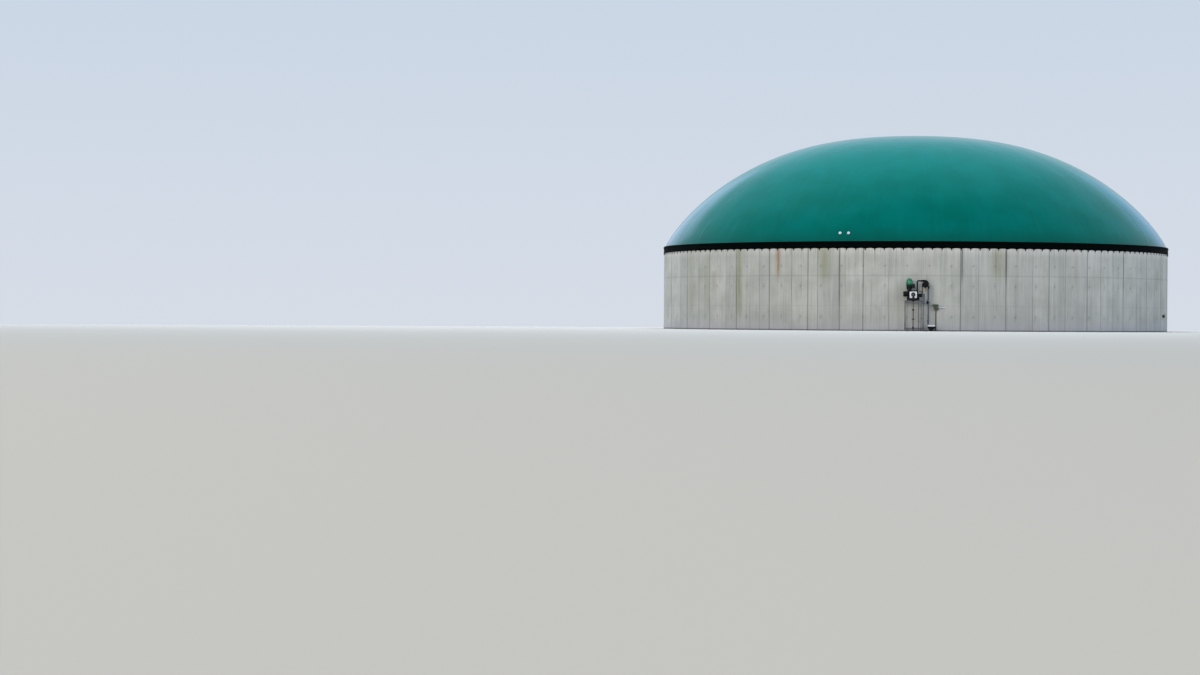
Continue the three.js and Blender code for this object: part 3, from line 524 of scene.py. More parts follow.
def spots(base, points):
    """Frames that stand at flat points (x, y) of a base frame."""
    made = np.tile(base, (len(points), 1, 1))
    made[:, :3, 3] += np.asarray(points) @ base[:3, :2].T
    return made


def circle(radius, count, start=0.0):
    """Flat points evenly round a circle, anticlockwise from a start in degrees."""
    turn = np.radians(start) + np.linspace(0, 2 * np.pi, count, endpoint=False)
    return radius * np.stack([np.cos(turn), np.sin(turn)], -1)


def turned(profile, sides=32, paint=0):
    """A body turned about Z from (radius, height) pairs that run from its foot to its top."""
    radius, height = np.array(profile, float).T
    rim = radius[:, None, None] * circle(1.0, sides)
    lift = np.broadcast_to(height[:, None, None], (*rim.shape[:2], 1))
    return skin(np.concatenate([rim, lift], -1), wrap_columns=True, caps=True, paint=paint)


def lathe(base, profile, sides=32, paint=0):
    """A body turned about the Z of a base frame."""
    return copies(turned(profile, sides, paint), base)


def bolt(head, paint=0):
    """A hexagon bolt that stands on the XY plane: a washer, a six-sided head and a stub of thread."""
    washer = turned([(1.2 * head, 0), (1.2 * head, 0.2 * head)], 16, paint)
    hexagon = turned([(head, 0.15 * head), (head, 0.95 * head), (0.86 * head, 1.05 * head)], 6, paint)
    stub = turned([(0.52 * head, head), (0.52 * head, 1.4 * head), (0.4 * head, 1.5 * head)], 10, paint)
    return joined(washer, hexagon, stub)


def bolts(head, base, points, paint=0):
    """A bolt at each flat point of a base frame."""
    return copies(bolt(head, paint), spots(base, points))


def rounded_rectangle(width, depth, corner, steps=4):
    """The outline of a rectangle about the origin, anticlockwise, with a quarter circle at each corner."""
    quarter = np.arange(4)[:, None]
    turn = (quarter + np.linspace(0, 1, steps + 1)) * np.pi / 2
    x_side = np.sign(np.cos((quarter + 0.5) * np.pi / 2))
    y_side = np.sign(np.sin((quarter + 0.5) * np.pi / 2))
    x = x_side * (width / 2 - corner) + corner * np.cos(turn)
    y = y_side * (depth / 2 - corner) + corner * np.sin(turn)
    return np.stack([x.ravel(), y.ravel()], -1)


def extruded(outline, foot, top, edge, paint=0):
    """Carries a closed outline up Z; a quarter circle of radius edge rounds over its foot and its top edge.

    A narrow flat ring lies between each rounded edge and its cap, so that the cap is shaded flat.
    """
    ahead = np.roll(outline, -1, 0) - np.roll(outline, 1, 0)
    normal = np.stack([ahead[:, 1], -ahead[:, 0]], -1) / np.linalg.norm(ahead, axis=1, keepdims=True)
    turn = np.radians([0, 45, 90])
    inset = edge * np.append(1.3, 1 - np.sin(turn))
    climb = edge * np.append(0.0, 1 - np.cos(turn))
    inset = np.concatenate([inset, inset[::-1]])[:, None, None]
    height = np.concatenate([foot + climb, top - climb[::-1]])[:, None, None]
    flat = outline - inset * normal
    grid = np.concatenate([flat, height + 0 * flat[..., :1]], -1)
    return skin(grid, wrap_columns=True, caps=True, paint=paint)


def block(low, high, edge=0.003):
    """A box between two corners with rounded edges."""
    low, high = np.array(low, float), np.array(high, float)
    width, depth = (high - low)[:2]
    outline = rounded_rectangle(width, depth, 1.6 * edge) + (low + high)[:2] / 2
    return extruded(outline, low[2], high[2], edge)


def skirt_rubber():
    """Black EPDM rubber, calendered and weathered: a soft low sheen with grey dust that rain has drawn down.

    Dust streaks are 60 mm wide, and the sheet's own grain is 8 mm, drawn coarse so that it shows.
    """
    material, tree, shader, place = new_material("black_epdm_rubber", {"Specular IOR Level": 0.02})
    dust = noise(tree, place, 0.06, 4.0, (1, 1, 6))
    colour = layered(tree, "#020606", ("#0a1414", 0.35, (dust, 0.5, 0.8)))
    tree.links.new(colour, shader.inputs["Base Color"])
    limits = {"Value": dust, "From Min": 0.3, "From Max": 0.7, "To Min": 0.6, "To Max": 0.8}
    dulled = add_node(tree, "ShaderNodeMapRange", limits, interpolation_type="SMOOTHSTEP")
    tree.links.new(dulled.outputs["Result"], shader.inputs["Roughness"])
    bump(tree, shader, (noise(tree, place, 0.008, 2.0), 0.0004))
    return material


band_rubber = skirt_rubber()
band_halves = 2
band_span = 360.0 / band_halves
band_start = 20.0
anchor_spacing = 2.0
anchor_size = (0.055, 0.11)
anchor_thickness = 0.008
lap_spacing = 10.0
band_low, band_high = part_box("rim_band_1")
band_inner_radius = tank_radius + 0.0003
hem_rise = 0.05
hem_fold = 0.03
strip_top = band_high[2] - 0.05
strip_foot = strip_top - 0.05
anchor_height = band_low[2] + 0.035 - anchor_size[1] / 2
clip = extruded(rounded_rectangle(*anchor_size, 0.012, 2), 0.0, anchor_thickness, 0.002)
clip_bolt = copies(bolt(0.016), facing((0, 0, anchor_thickness), up))

band_steps, strip_steps = 1081, 361
strip_profile = [(0.012, strip_foot), (0.027, strip_foot), (0.027, strip_top), (0.012, strip_top)]


def on_band(profile, columns):
    """Carries a section along its columns: pairs of a distance out from the wall's face and a height."""
    return np.stack([on_circle(band_inner_radius + out, columns, height) for out, height in profile])


for half in range(band_halves):
    start = band_start + half * band_span
    columns = np.linspace(start + hairline, start + band_span - hairline, band_steps)
    between = np.abs(np.sin(np.pi * columns / anchor_spacing))
    lap = 0.004 * smoothstep(nearest(columns, [0.0], lap_spacing), 0.45, 0.35)
    foot = band_low[2] + hem_rise * between**0.7
    belly = 0.007 * between
    profile = [
        (0.0 * columns, foot),
        (0.016 + belly, foot),
        (0.024 + belly + lap, foot + 0.008),
        (0.024 + belly + lap, foot + hem_fold),
        (0.018 + 0.8 * belly + lap, foot + hem_fold + 0.008),
        (0.018 + 0.4 * belly + lap, foot + 0.12),
        (0.016 + lap, 0 * foot + strip_foot - 0.02),
        (0.018 + lap, 0 * foot + strip_top + 0.01),
        (0.034 + lap, 0 * foot + band_high[2] - 0.03),
        (0.036 + lap, 0 * foot + band_high[2] - 0.01),
        (0.026 + lap, 0 * foot + band_high[2]),
        (0.0 * columns, 0 * foot + band_high[2]),
    ]
    strip_columns = np.linspace(start + 0.3, start + band_span - 0.3, strip_steps)
    anchor_angles = np.arange(start + anchor_spacing, start + band_span - 0.2, anchor_spacing)
    anchor_places = on_circle(band_inner_radius, anchor_angles, anchor_height)
    outwards = on_circle(1.0, anchor_angles, 0.0)
    anchor_frames = np.stack([facing(spot, out) for spot, out in zip(anchor_places, outwards)])
    screws = on_circle(band_inner_radius + 0.027, anchor_angles, (strip_foot + strip_top) / 2)
    screw_frames = np.stack([facing(spot, out) for spot, out in zip(screws, outwards)])
    band = [
        skin(on_band(profile, columns), wrap_rows=True, caps=True),
        skin(on_band(strip_profile, strip_columns), wrap_rows=True, caps=True),
        copies(joined(clip, clip_bolt), anchor_frames),
        copies(bolt(0.014), screw_frames),
    ]
    dress(f"rim_band_{half + 1}", "rim_skirt", f"skirt_band_{half + 1}", band, band_rubber)


# Gas dome
# The outer membrane of the gas store, polyester fabric coated with green PVC and blown up by the support
# air. It is welded from thirty gores and a crown disc, bulges a little between their seams and is clamped
# at the rim.
dome_edge_radius = 14.915
dome_edge_height = 4.915
dome_flatness = 2.55
dome_shoulder = 0.82
dome_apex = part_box("gas_dome")[1][2]
dome_rise = dome_apex - dome_edge_height
dome_foot_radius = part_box("gas_dome")[1][0]
gore_count = 30
gore_offset = 4.0
seam_width = 0.05
seam_height = 0.0025
gore_bulge = 0.012
crown_radius = 1.3
crown_hole = 0.25
membrane_thickness = 0.02
hem_radius = 0.022


def dome_height(radius):
    """The height of the inflated membrane, a superellipse: rise times (1 - share ^ flatness) ^ shoulder."""
    share = np.clip(radius / dome_edge_radius, 0, 1)
    return dome_edge_height + dome_rise * (1 - share**dome_flatness) ** dome_shoulder


def dome_slope(radius):
    """How steeply the membrane falls outwards: the derivative of its height, as a positive number."""
    share = np.clip(radius / dome_edge_radius, 0, 0.998)
    steepening = (1 - share**dome_flatness) ** (dome_shoulder - 1) * share ** (dome_flatness - 1)
    return dome_rise / dome_edge_radius * dome_flatness * dome_shoulder * steepening


def coated_membrane():
    """PVC-coated polyester, calendered and lacquered: deep green under a clear gloss that mirrors the sky.

    A lighter belt half way up is a painted sheen of the sky's light on the slope, and the colour is darker
    over the last half metre above the rim and on the hem. Rain streaks are 0.25 m wide and run down each
    gore, dust clouds are 1.6 m wide, and the fabric's own 9 mm threads are drawn three times as coarse so
    that they show.
    """
    sockets = {"Roughness": 0.17, "Specular IOR Level": 0.4, "Specular Tint": linear("#2fe0d0")}
    material, tree, shader, place = new_material("pvc_coated_polyester", sockets)
    flow = add_node(tree, "ShaderNodeAttribute", attribute_name="flow").outputs["Vector"]
    seam, sky_sheen, rim_darkening = read_note(tree, "gore")
    clouds = noise(tree, place, 1.6, 4.0)
    rain = noise(tree, flow, 0.25, 4.0, (1, 1, 18))
    colour = layered(
        tree,
        "#005c50",
        ("#01645a", 1.0, (clouds, 0.3, 0.7)),
        ("#0f756c", 0.12, (rain, 0.5, 0.75)),
        ("#06564d", 0.35, seam),
        # painted sheen: a lighter belt half way up the dome, where the sky's light falls on the slope
        ("#0a837d", 0.25, sky_sheen),
        # darker over the last half metre above the rim, and on the hem
        ("#0c5045", 0.5, rim_darkening),
    )
    tree.links.new(colour, shader.inputs["Base Color"])
    bump(tree, shader, (noise(tree, place, 0.027, 2.0), 0.0004))
    return material


membrane = coated_membrane()
gore_angles = gore_offset + 360.0 / gore_count * np.arange(gore_count)
seam_edges = seam_width / 2 + np.array([0.0, 0.004, 0.035])
seam_offsets = np.degrees(np.concatenate([-seam_edges[::-1], seam_edges]) / dome_edge_radius)
columns = lines_between(-180.0, 180.0, 1.5, [*gore_angles, *(gore_angles - 360)], seam_offsets)[:-1]
outer_rows, inner_rows, hem_sides = 110, 40, 12
climb = np.linspace(0, 1, outer_rows)
radii = crown_hole + (dome_edge_radius - crown_hole) * np.cos(climb * math.pi / 2)
radii = np.union1d(radii, [crown_radius - 0.004, crown_radius + 0.004])[::-1]
radius, angle = np.meshgrid(radii, columns, indexing="ij")
gap = nearest(angle, gore_angles, 360)
share = gap / (180.0 / gore_count)
tautness = np.clip(radius / dome_edge_radius, 0, 1) * smoothstep(dome_edge_radius - radius, 0.0, 1.2)
relief = -gore_bulge * (1 - share) ** 2 * tautness
on_seam = smoothstep(np.radians(gap) * radius, seam_width / 2 + 0.002, seam_width / 2 - 0.002)
in_crown = smoothstep(radius, crown_radius + 0.003, crown_radius - 0.003)
relief += seam_height * np.maximum(on_seam * (1 - in_crown), in_crown)
slope = dome_slope(radius)
length = np.hypot(slope, 1)
outer = on_circle(radius + relief * slope / length, angle, dome_height(radius) + relief / length)
inner_radii = np.linspace(crown_hole, dome_edge_radius, inner_rows)
inner_slope = dome_slope(inner_radii)
inner_length = np.hypot(inner_slope, 1)
inner = on_circle(
    (inner_radii - membrane_thickness * inner_slope / inner_length)[:, None],
    columns[None],
    (dome_height(inner_radii) - membrane_thickness / inner_length)[:, None],
)
foot_bottom = wall_height + 0.0003
foot = [
    on_circle(dome_edge_radius - 0.03, columns, foot_bottom),
    on_circle(dome_foot_radius, columns, foot_bottom),
    on_circle(dome_foot_radius, columns, dome_edge_height),
]
shell = np.concatenate([inner, foot, outer])
hem_turn = np.linspace(0, 2 * np.pi, hem_sides, endpoint=False)[:, None]
hem_ring = on_circle(
    dome_foot_radius - 0.006 + hem_radius * np.cos(hem_turn),
    columns[None],
    dome_edge_height + 0.008 + hem_radius * np.sin(hem_turn),
)
cover = joined(
    skin(shell, wrap_columns=True, caps=True),
    skin(hem_ring, wrap_rows=True, wrap_columns=True),
)
dome = make_piece("membrane_dome", cover, membrane)
run = np.concatenate([[0], np.cumsum(np.hypot(np.diff(radii), np.diff(dome_height(radii))))])
whole = len(inner) + len(foot)
flow = np.concatenate([shell[:whole], on_circle(dome_edge_radius, angle, run[:, None])]).reshape(-1, 3)
flow = np.concatenate([flow, hem_ring.reshape(-1, 3)])
note(dome, "flow", *flow.T)
# painted sheen: the belt half way up the dome that is drawn lighter
sky_sheen_belt = smoothstep(radius, 14.0, 9.0) * smoothstep(radius, 3.0, 8.0)
blank = np.zeros(whole * len(columns))
tail = np.zeros(hem_ring[..., 0].size)
note(
    dome,
    "gore",
    np.concatenate([blank, (on_seam * (1 - in_crown)).ravel(), tail]),
    np.concatenate([blank, sky_sheen_belt.ravel(), tail]),
    # darker over the last half metre above the rim, and 0.3 of it on the hem
    np.concatenate([blank, smoothstep(dome_edge_radius - radius, 0.5, 0.0).ravel(), tail + 0.3]),
)
fit(dome, "membrane", "gas_dome")

# Sight ports
# Two round windows of white powder-coated steel near the edge of the membrane, through which the slurry is
# watched. A bolted flange clamps each to the fabric on a neck, and its pane is set into a raised rim.
def coated_metal(name, fresh, worn, sockets, peel=0.004, settled=0.3):
    """Paint on metal that stands outdoors: paler where rain has worn it, with grey dust on what faces up.

    Worn patches are 90 mm wide and runs 25 mm; the coat's own peel is given in metres, drawn to show.
    """
    material, tree, shader, place = new_material(name, sockets)
    normal = add_node(tree, "ShaderNodeNewGeometry").outputs["Normal"]
    upward = add_node(tree, "ShaderNodeSeparateXYZ", {"Vector": normal}).outputs["Z"]
    patches = noise(tree, place, 0.09, 5.0)
    runs = noise(tree, place, 0.025, 4.0, (1, 1, 10))
    colour = layered(
        tree,
        fresh,
        (worn, 0.6, (patches, 0.45, 0.75)),
        (worn, 0.4, (runs, 0.55, 0.8)),
        ("#8d8a80", settled, (upward, 0.3, 0.95), (patches, 0.25, 0.6)),
    )
    tree.links.new(colour, shader.inputs["Base Color"])
    bump(tree, shader, (noise(tree, place, peel, 2.0), 0.1 * peel))
    return material


def pane_glass():
    """Toughened float glass, polished: pale grey-blue and glossy, with the milky film that gas leaves."""
    material, tree, shader, place = new_material("float_glass", {"Roughness": 0.08, "IOR": 1.52})
    film = ("#e4eaec", 1.0, (noise(tree, place, 0.05, 4.0), 0.3, 0.7))
    tree.links.new(layered(tree, "#b9c6cc", film), shader.inputs["Base Color"])
    return material


def stainless_steel():
    """Stainless steel of bolts and screws, rolled and dulled by rain: grey, metallic, with 30 mm blotches."""
    sockets = {"Metallic": 1.0, "Roughness": 0.38}
    material, tree, shader, place = new_material("rolled_stainless_steel", sockets)
    tarnish = ("#7d8082", 1.0, (noise(tree, place, 0.03, 5.0), 0.35, 0.7))
    tree.links.new(layered(tree, "#a4a7a8", tarnish), shader.inputs["Base Color"])
    bump(tree, shader, (noise(tree, place, 0.005, 2.0), 0.0002))
    return material


def facet_side(row):
    """The radius and height at the middle of the side between two rows of the dome's flat facets."""
    radius = dome_edge_radius * math.sin(math.pi / 2 * row / facet_rows)
    return np.array([radius * math.cos(math.radians(facet_turn / 2)), dome_height(radius)])


white_coat = coated_metal("white_powder_coat", "#f1f3f6", "#dfe3e8", {"Roughness": 0.35}, 0.003, 0.12)
glass = pane_glass()
stainless = stainless_steel()
facet_rows = 12
facet_turn = 5.0
port_angles = {"left": -15.8, "right": -13.9}
port_facet_angle = -15.0
port_height = 5.35
upper_side, lower_side = facet_side(facet_rows - 2), facet_side(facet_rows - 1)
climb_share = (port_height - lower_side[1]) / (upper_side[1] - lower_side[1])
port_seat = lower_side + climb_share * (upper_side - lower_side)
port_incline = math.atan2(upper_side[1] - lower_side[1], lower_side[0] - upper_side[0])
port_outward = on_circle(1.0, port_facet_angle, 0.0)
port_sideways = np.array([-port_outward[1], port_outward[0], 0.0])
port_axis = math.sin(port_incline) * port_outward + [0, 0, math.cos(port_incline)]
flange_top = 0.032
port_profile = [(0.064, 0.0003), (0.064, 0.02), (0.078, 0.02), (0.08, 0.0225), (0.08, 0.0295)]
port_profile += [(0.078, flange_top), (0.066, flange_top), (0.064, 0.034), (0.064, 0.077)]
port_profile += [(0.062, 0.08), (0.058, 0.08), (0.056, 0.078), (0.056, 0.07)]
pane_profile = [(0.0556, 0.07), (0.0556, 0.072), (0.054, 0.0735), (0.05, 0.074)]

for side, port_angle in port_angles.items():
    across = port_seat[0] * math.tan(math.radians(port_angle - port_facet_angle))
    port_foot = port_seat[0] * port_outward + across * port_sideways + [0, 0, port_seat[1]]
    port = [
        lathe(facing(port_foot, port_axis), port_profile, 48),
        lathe(facing(port_foot, port_axis), pane_profile, 48, 1),
        bolts(0.0042, facing(port_foot + flange_top * port_axis, port_axis), circle(0.072, 8), 2),
    ]
    dress(f"sight_port_{side}", "white_enamel", f"sight_window_{side}", port, white_coat, glass, stainless)


# Drive stand
# Four legs of 50 mm square steel tube, welded to rails and braces, hot-dip galvanised and bolted to the
# ground with expansion anchors through 12 mm foot plates. It carries the mixer's gearbox in front of the
# wall.
def bar(start, end, width, depth, corner=0.006, paint=0):
    """A rolled bar between two points: a rounded rectangle, width across by depth up, carried along."""
    start, end = np.array(start, float), np.array(end, float)
    along = end - start
    outline = rounded_rectangle(width, depth, corner)
    return copies(extruded(outline, 0.0, np.linalg.norm(along), 0.0015, paint), facing(start, along))


def plate(x, z, back, thickness, width, height, corner=0.008):
    """An upright plate across the front: centred at x and z, from its back's Y forwards by its thickness."""
    outline = rounded_rectangle(width, height, corner)
    return copies(extruded(outline, 0.0, thickness, 0.002), facing((x, back, z), front))


def gusset(corner, along, way, length, height, thickness):
    """A triangular stiffener in the corner of two directions, with its outer corners cut off."""
    snip = 0.012
    outline = np.array([(0, 0), (length, 0), (length, snip), (snip, height), (0, height)])
    side = np.cross(along, way)
    base = np.eye(4)
    base[:3] = np.stack([along, way, side, np.array(corner) - 0.5 * thickness * side], -1)
    return copies(extruded(outline, 0.0, thickness, 0.001), base)


def standing(x, y, z=0.0):
    """An upright 4x4 frame at a place."""
    return facing((x, y, z), up)


def dipped_zinc():
    """Hot-dip galvanised steel, some winters old: dull grey zinc whose 14 mm crystals differ in tone."""
    material, tree, shader, place = new_material("hot_dip_galvanised_steel", {"Metallic": 0.5})
    crystals = add_node(tree, "ShaderNodeTexVoronoi", {"Vector": place, "Scale": 1 / 0.014})
    tone = add_node(tree, "ShaderNodeSeparateColor", {"Color": crystals.outputs["Color"]}).outputs["Red"]
    # darker weathered patches, 120 mm wide and stretched upright
    darkening = noise(tree, place, 0.12, 5.0, (1, 1, 5))
    colour = layered(tree, "#5a5e60", ("#74787a", 1.0, tone), ("#4a4d4e", 0.6, (darkening, 0.45, 0.75)))
    tree.links.new(colour, shader.inputs["Base Color"])
    limits = {"Value": tone, "To Min": 0.45, "To Max": 0.62}
    dulled = add_node(tree, "ShaderNodeMapRange", limits, interpolation_type="SMOOTHSTEP")
    tree.links.new(dulled.outputs["Result"], shader.inputs["Roughness"])
    bump(tree, shader, (noise(tree, place, 0.006, 3.0), 0.0004))
    return material


zinc = dipped_zinc()
seat = 0.0003
tube_side = 0.05
foot_side = 0.13
foot_thickness = 0.012
brace_height = 0.15
stand_low, stand_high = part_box("drive_stand")
leg_columns = (stand_low[0] + foot_side / 2, stand_high[0] - foot_side / 2)
leg_rows = (stand_high[1] - foot_side / 2, stand_low[1] + foot_side / 2)
rail_height = stand_high[2] - tube_side / 2
tube_inset = tube_side / 2

parts_made = []
for leg_x in leg_columns:
    for leg_y in leg_rows:
        foot_low = (leg_x - foot_side / 2, leg_y - foot_side / 2, 0.0)
        foot_high = (leg_x + foot_side / 2, leg_y + foot_side / 2, foot_thickness)
        weld_low = (leg_x - tube_inset - 0.005, leg_y - tube_inset - 0.005, foot_thickness - 0.001)
        weld_high = (leg_x + tube_inset + 0.005, leg_y + tube_inset + 0.005, foot_thickness + 0.006)
        parts_made += [
            bar((leg_x, leg_y, foot_thickness - 0.002), (leg_x, leg_y, stand_high[2]), tube_side, tube_side),
            block(foot_low, foot_high, 0.002),
            block(weld_low, weld_high, 0.003),
            bolts(0.01, standing(leg_x, leg_y, foot_thickness), circle(0.066, 4, 45.0)),
        ]
    for height in (rail_height, brace_height):
        ends = [(leg_x, y + inset, height) for y, inset in zip(leg_rows, (-tube_inset, tube_inset))]
        parts_made.append(bar(*ends, tube_side - 0.002, tube_side - 0.002))
for y, height in ((leg_rows[0], rail_height), (leg_rows[1], rail_height), (leg_rows[0], brace_height)):
    ends = [(x + inset, y, height) for x, inset in zip(leg_columns, (tube_inset, -tube_inset))]
    parts_made.append(bar(*ends, tube_side - 0.002, tube_side - 0.002))
for leg_x, inward in zip(leg_columns, (1, -1)):
    for leg_y in leg_rows:
        corner = (leg_x + inward * tube_inset, leg_y, rail_height - tube_inset)
        parts_made.append(gusset(corner, (inward, 0, 0), down, 0.11, 0.11, 0.008))
dress("drive_stand", "galvanised_steel", "welded_stand", parts_made, zinc)

# Base plate
# A 12 mm sheet of galvanised steel, sawn to size and bolted down to the stand's rails. The mixer's gearbox is
# screwed to it, and its right end reaches out under the blower's drain.
plate_low, plate_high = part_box("base_plate")
bolt_columns = np.linspace(leg_columns[0], leg_columns[1], 5)
bolt_places = [(x, y) for x in bolt_columns for y in leg_rows]
deck = [
    block(plate_low, plate_high, 0.002),
    bolts(0.011, standing(0, 0, plate_high[2]), bolt_places),
]
dress("base_plate", "galvanised_steel", "deck_plate", deck, zinc)


# Shaft tube
# The mixer's shaft passes through the wall inside this welded steel tube. Its square flange is anchored to
# the concrete with eight bolts, and four ribs stiffen the tube against it.
def before_wall(out):
    """The Y of a place that stands out from the front of the wall by a distance."""
    return -tank_radius - out


drive_x = 0.025
axle_height = 2.02
seal_height = 1.985
wall_flange_side = 0.46
wall_flange_thickness = 0.02
tube_radius = 0.105
tube_end = 0.2997
flange_front = before_wall(wall_flange_thickness)
tube_frame = facing((drive_x, flange_front + 0.004, axle_height), front)
tube_length = tube_end - wall_flange_thickness + 0.004
rib_root = np.array([drive_x, flange_front, axle_height])
rib_ways = (up, down, right, left)
tube_profile = [(tube_radius + 0.008, 0.0), (tube_radius + 0.008, 0.006), (tube_radius, 0.013)]
tube_profile += [(tube_radius, tube_length - 0.02), (tube_radius + 0.02, tube_length - 0.02)]
tube_profile += [(tube_radius + 0.02, tube_length)]
flange_bolts = [(0.19 * x, 0.19 * z) for x in (-1, 0, 1) for z in (-1, 0, 1) if x or z]
tube = [
    plate(drive_x, seal_height, before_wall(seat), wall_flange_thickness, wall_flange_side, wall_flange_side),
    lathe(tube_frame, tube_profile, 48),
    bolts(0.014, facing((drive_x, flange_front, seal_height), front), flange_bolts),
    *(gusset(rib_root + 0.1 * np.array(way), front, way, 0.12, 0.07, 0.01) for way in rib_ways),
]
dress("shaft_tube", "galvanised_steel", "mixer_shaft_tube", tube, zinc)


# Mixer gearbox
# The heavy cast-iron housing that turns the mixer's shaft, painted black: a ribbed barrel with a bolted
# cover on its left, a bearing hub on its right and one in front, on a ribbed foot screwed to the base
# plate.
def black_iron():
    """Sand-cast iron under black machinery enamel: 6 mm casting skin, and a little dust on what faces up."""
    sockets = {"Roughness": 0.5, "Specular IOR Level": 0.16}
    return coated_metal("black_enamelled_cast_iron", "#090a0d", "#121418", sockets, 0.006, 0.2)


def ring(radius, wire, sides, rounds):
    """A torus about Z: a circle of wire's radius carried round a circle."""
    turn, tube = circle(1.0, sides), circle(wire, rounds)
    flat = (radius + tube[:, None, :1]) * turn[None]
    lift = np.broadcast_to(tube[:, None, 1:], (*flat.shape[:2], 1))
    return skin(np.concatenate([flat, lift], -1), wrap_rows=True, wrap_columns=True)


def lifted(profile, height):
    """A profile carried along its axis by a height."""
    return [(radius, along + height) for radius, along in profile]


def both_ways(profile):
    """A profile that runs up to its own middle, with its mirror image above it."""
    return profile + [(radius, -along) for radius, along in reversed(profile)]


def collar(inner, outer, height, half, lip=0.002):
    """The profile of a ring round a bar or pipe: half its length each way from a height, with lipped ends."""
    return lifted(both_ways([(inner, -half), (outer, lip - half)]), height)


iron = black_iron()
axle_y = before_wall(0.45)
pipes_y = before_wall(0.42)
gearbox_low, gearbox_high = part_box("mixer_gearbox")
barrel_left, barrel_right = -0.4, 0.24
barrel_radius = 0.155
barrel_groove = 0.143
cover_left = gearbox_low[0]
cover_radius = 0.142
cover_flange = 0.16
front_hub_radius = 0.12
side_hub_radius = 0.098
side_hub_right = gearbox_high[0]
side_hub_height = 1.945
foot_left, foot_right = -0.32, 0.36
foot_depth = 0.24
foot_sole = gearbox_low[2] + 0.03
foot_block_top = 1.9
pad_side = 0.24
pad_top = gearbox_high[2]
motor_x = -0.185
outlet_x = 0.24
vent_x = 0.512
vent_foot = 2.075
bearing_out = 0.62

cover_nose = [(0.11, 0.004), (0.12, 0.0), (0.132, 0.004), (0.14, 0.02), (cover_radius, 0.03)]
cover_rim = [(cover_radius, -0.032), (0.158, -0.03), (cover_flange, -0.027), (cover_flange, 0.012)]
cover_rim += [(0.15, 0.016)]
barrel = lifted(cover_nose, cover_left) + lifted(cover_rim, barrel_left)
for rib in np.arange(-0.345, 0.2, 0.06):
    barrel += collar(barrel_groove, barrel_radius, rib, 0.016, 0.01)
barrel_end = [(barrel_groove, -0.026), (barrel_radius, -0.022), (barrel_radius, -0.006), (0.15, 0.0)]
barrel += lifted(barrel_end, barrel_right)
side_hub = [(side_hub_radius, barrel_right - 0.01), (side_hub_radius, 0.3), (0.088, 0.31), (0.088, 0.4)]
side_hub_end = [(side_hub_radius, -0.05), (0.092, -0.042), (0.072, -0.036), (0.068, -0.004), (0.06, 0.0)]
side_hub += [(side_hub_radius, 0.41), *lifted(side_hub_end, side_hub_right)]
hub = [(0.11, 0.0), (0.11, 0.1), (0.105, 0.115), (0.105, 0.15), (front_hub_radius, 0.152)]
hub += [(front_hub_radius, 0.17)]
outlet_rim = [(0.048, -0.02), (0.052, -0.018), (0.052, 0.0)]
outlet_boss = [(0.048, side_hub_height + 0.05), *lifted(outlet_rim, pad_top)]
vent_rim = [(0.03, -0.02), (0.032, -0.018), (0.032, 0.0)]
vent_boss = [(0.03, side_hub_height + 0.05), *lifted(vent_rim, vent_foot)]
cover_frame = facing((cover_left + 0.002, axle_y, axle_height), left)
joint_frame = facing((barrel_left - 0.03, axle_y, axle_height), left)
hub_frame = facing((side_hub_right - 0.04, axle_y, side_hub_height), right)
sole_frame = standing(0, 0, foot_sole)
foot_bolts = [(x, axle_y + side * 0.098) for x in (-0.226, -0.062, 0.102, 0.266) for side in (-1, 1)]
breather = [(0.012, 0.0), (0.012, 0.03), (0.02, 0.032), (0.02, 0.05)]
gearbox = [
    lathe(facing((0, axle_y, axle_height), right), barrel, 64),
    lathe(facing((0, axle_y, side_hub_height), right), side_hub, 48),
    lathe(facing((drive_x, axle_y, seal_height), front), hub, 48),
    block(
        (foot_left, axle_y - foot_depth / 2, gearbox_low[2]),
        (foot_right, axle_y + foot_depth / 2, foot_sole),
        0.004,
    ),
    block(
        (foot_left + 0.02, axle_y - 0.07, foot_sole - 0.004),
        (foot_right - 0.02, axle_y + 0.07, foot_block_top),
    ),
    block(
        (motor_x - pad_side / 2, axle_y - pad_side / 2, pad_top - 0.022),
        (motor_x + pad_side / 2, axle_y + pad_side / 2, pad_top),
        0.004,
    ),
    block(
        (motor_x - pad_side / 2 + 0.03, axle_y - 0.09, axle_height + 0.1),
        (motor_x + pad_side / 2 - 0.03, axle_y + 0.09, pad_top - 0.02),
    ),
    lathe(standing(outlet_x, pipes_y), outlet_boss, 32),
    lathe(standing(vent_x, pipes_y), vent_boss, 28),
    bolts(0.008, joint_frame, circle(0.15, 12, 15.0), 1),
    bolts(0.008, cover_frame, circle(0.1, 6), 1),
    bolts(0.007, hub_frame, circle(0.083, 8), 1),
    bolts(0.011, sole_frame, foot_bolts, 1),
    lathe(standing(0.06, axle_y, axle_height + 0.148), breather, 6, 1),
    copies(ring(0.026, 0.007, 24, 10), facing((0.12, axle_y, axle_height + 0.172), front)),
]
for rib_x in np.linspace(foot_left + 0.012, foot_right - 0.012, 5):
    for way in (1.0, -1.0):
        corner = (rib_x, axle_y + way * 0.068, foot_sole - 0.002)
        gearbox.append(gusset(corner, (0.0, way, 0.0), up, 0.045, 0.18, 0.014))
dress("mixer_gearbox", "black_casting", "worm_gearbox", gearbox, iron, stainless)

# Bearing plate
# A square steel plate, powder-coated white, that closes the front of the gearbox and holds the shaft's outer
# bearing. A bolt stands in each of its corners.
bearing_side = 0.39
bearing_thickness = 0.025
bearing_height = 1.95
bearing_back = before_wall(bearing_out + seat)
bearing_front = facing((drive_x, bearing_back - bearing_thickness, bearing_height), front)
bearing = [
    plate(drive_x, bearing_height, bearing_back, bearing_thickness, bearing_side, bearing_side, 0.014),
    bolts(0.014, bearing_front, circle(0.225, 4, 45.0), 1),
]
dress("bearing_plate", "white_enamel", "white_bearing_plate", bearing, white_coat, stainless)

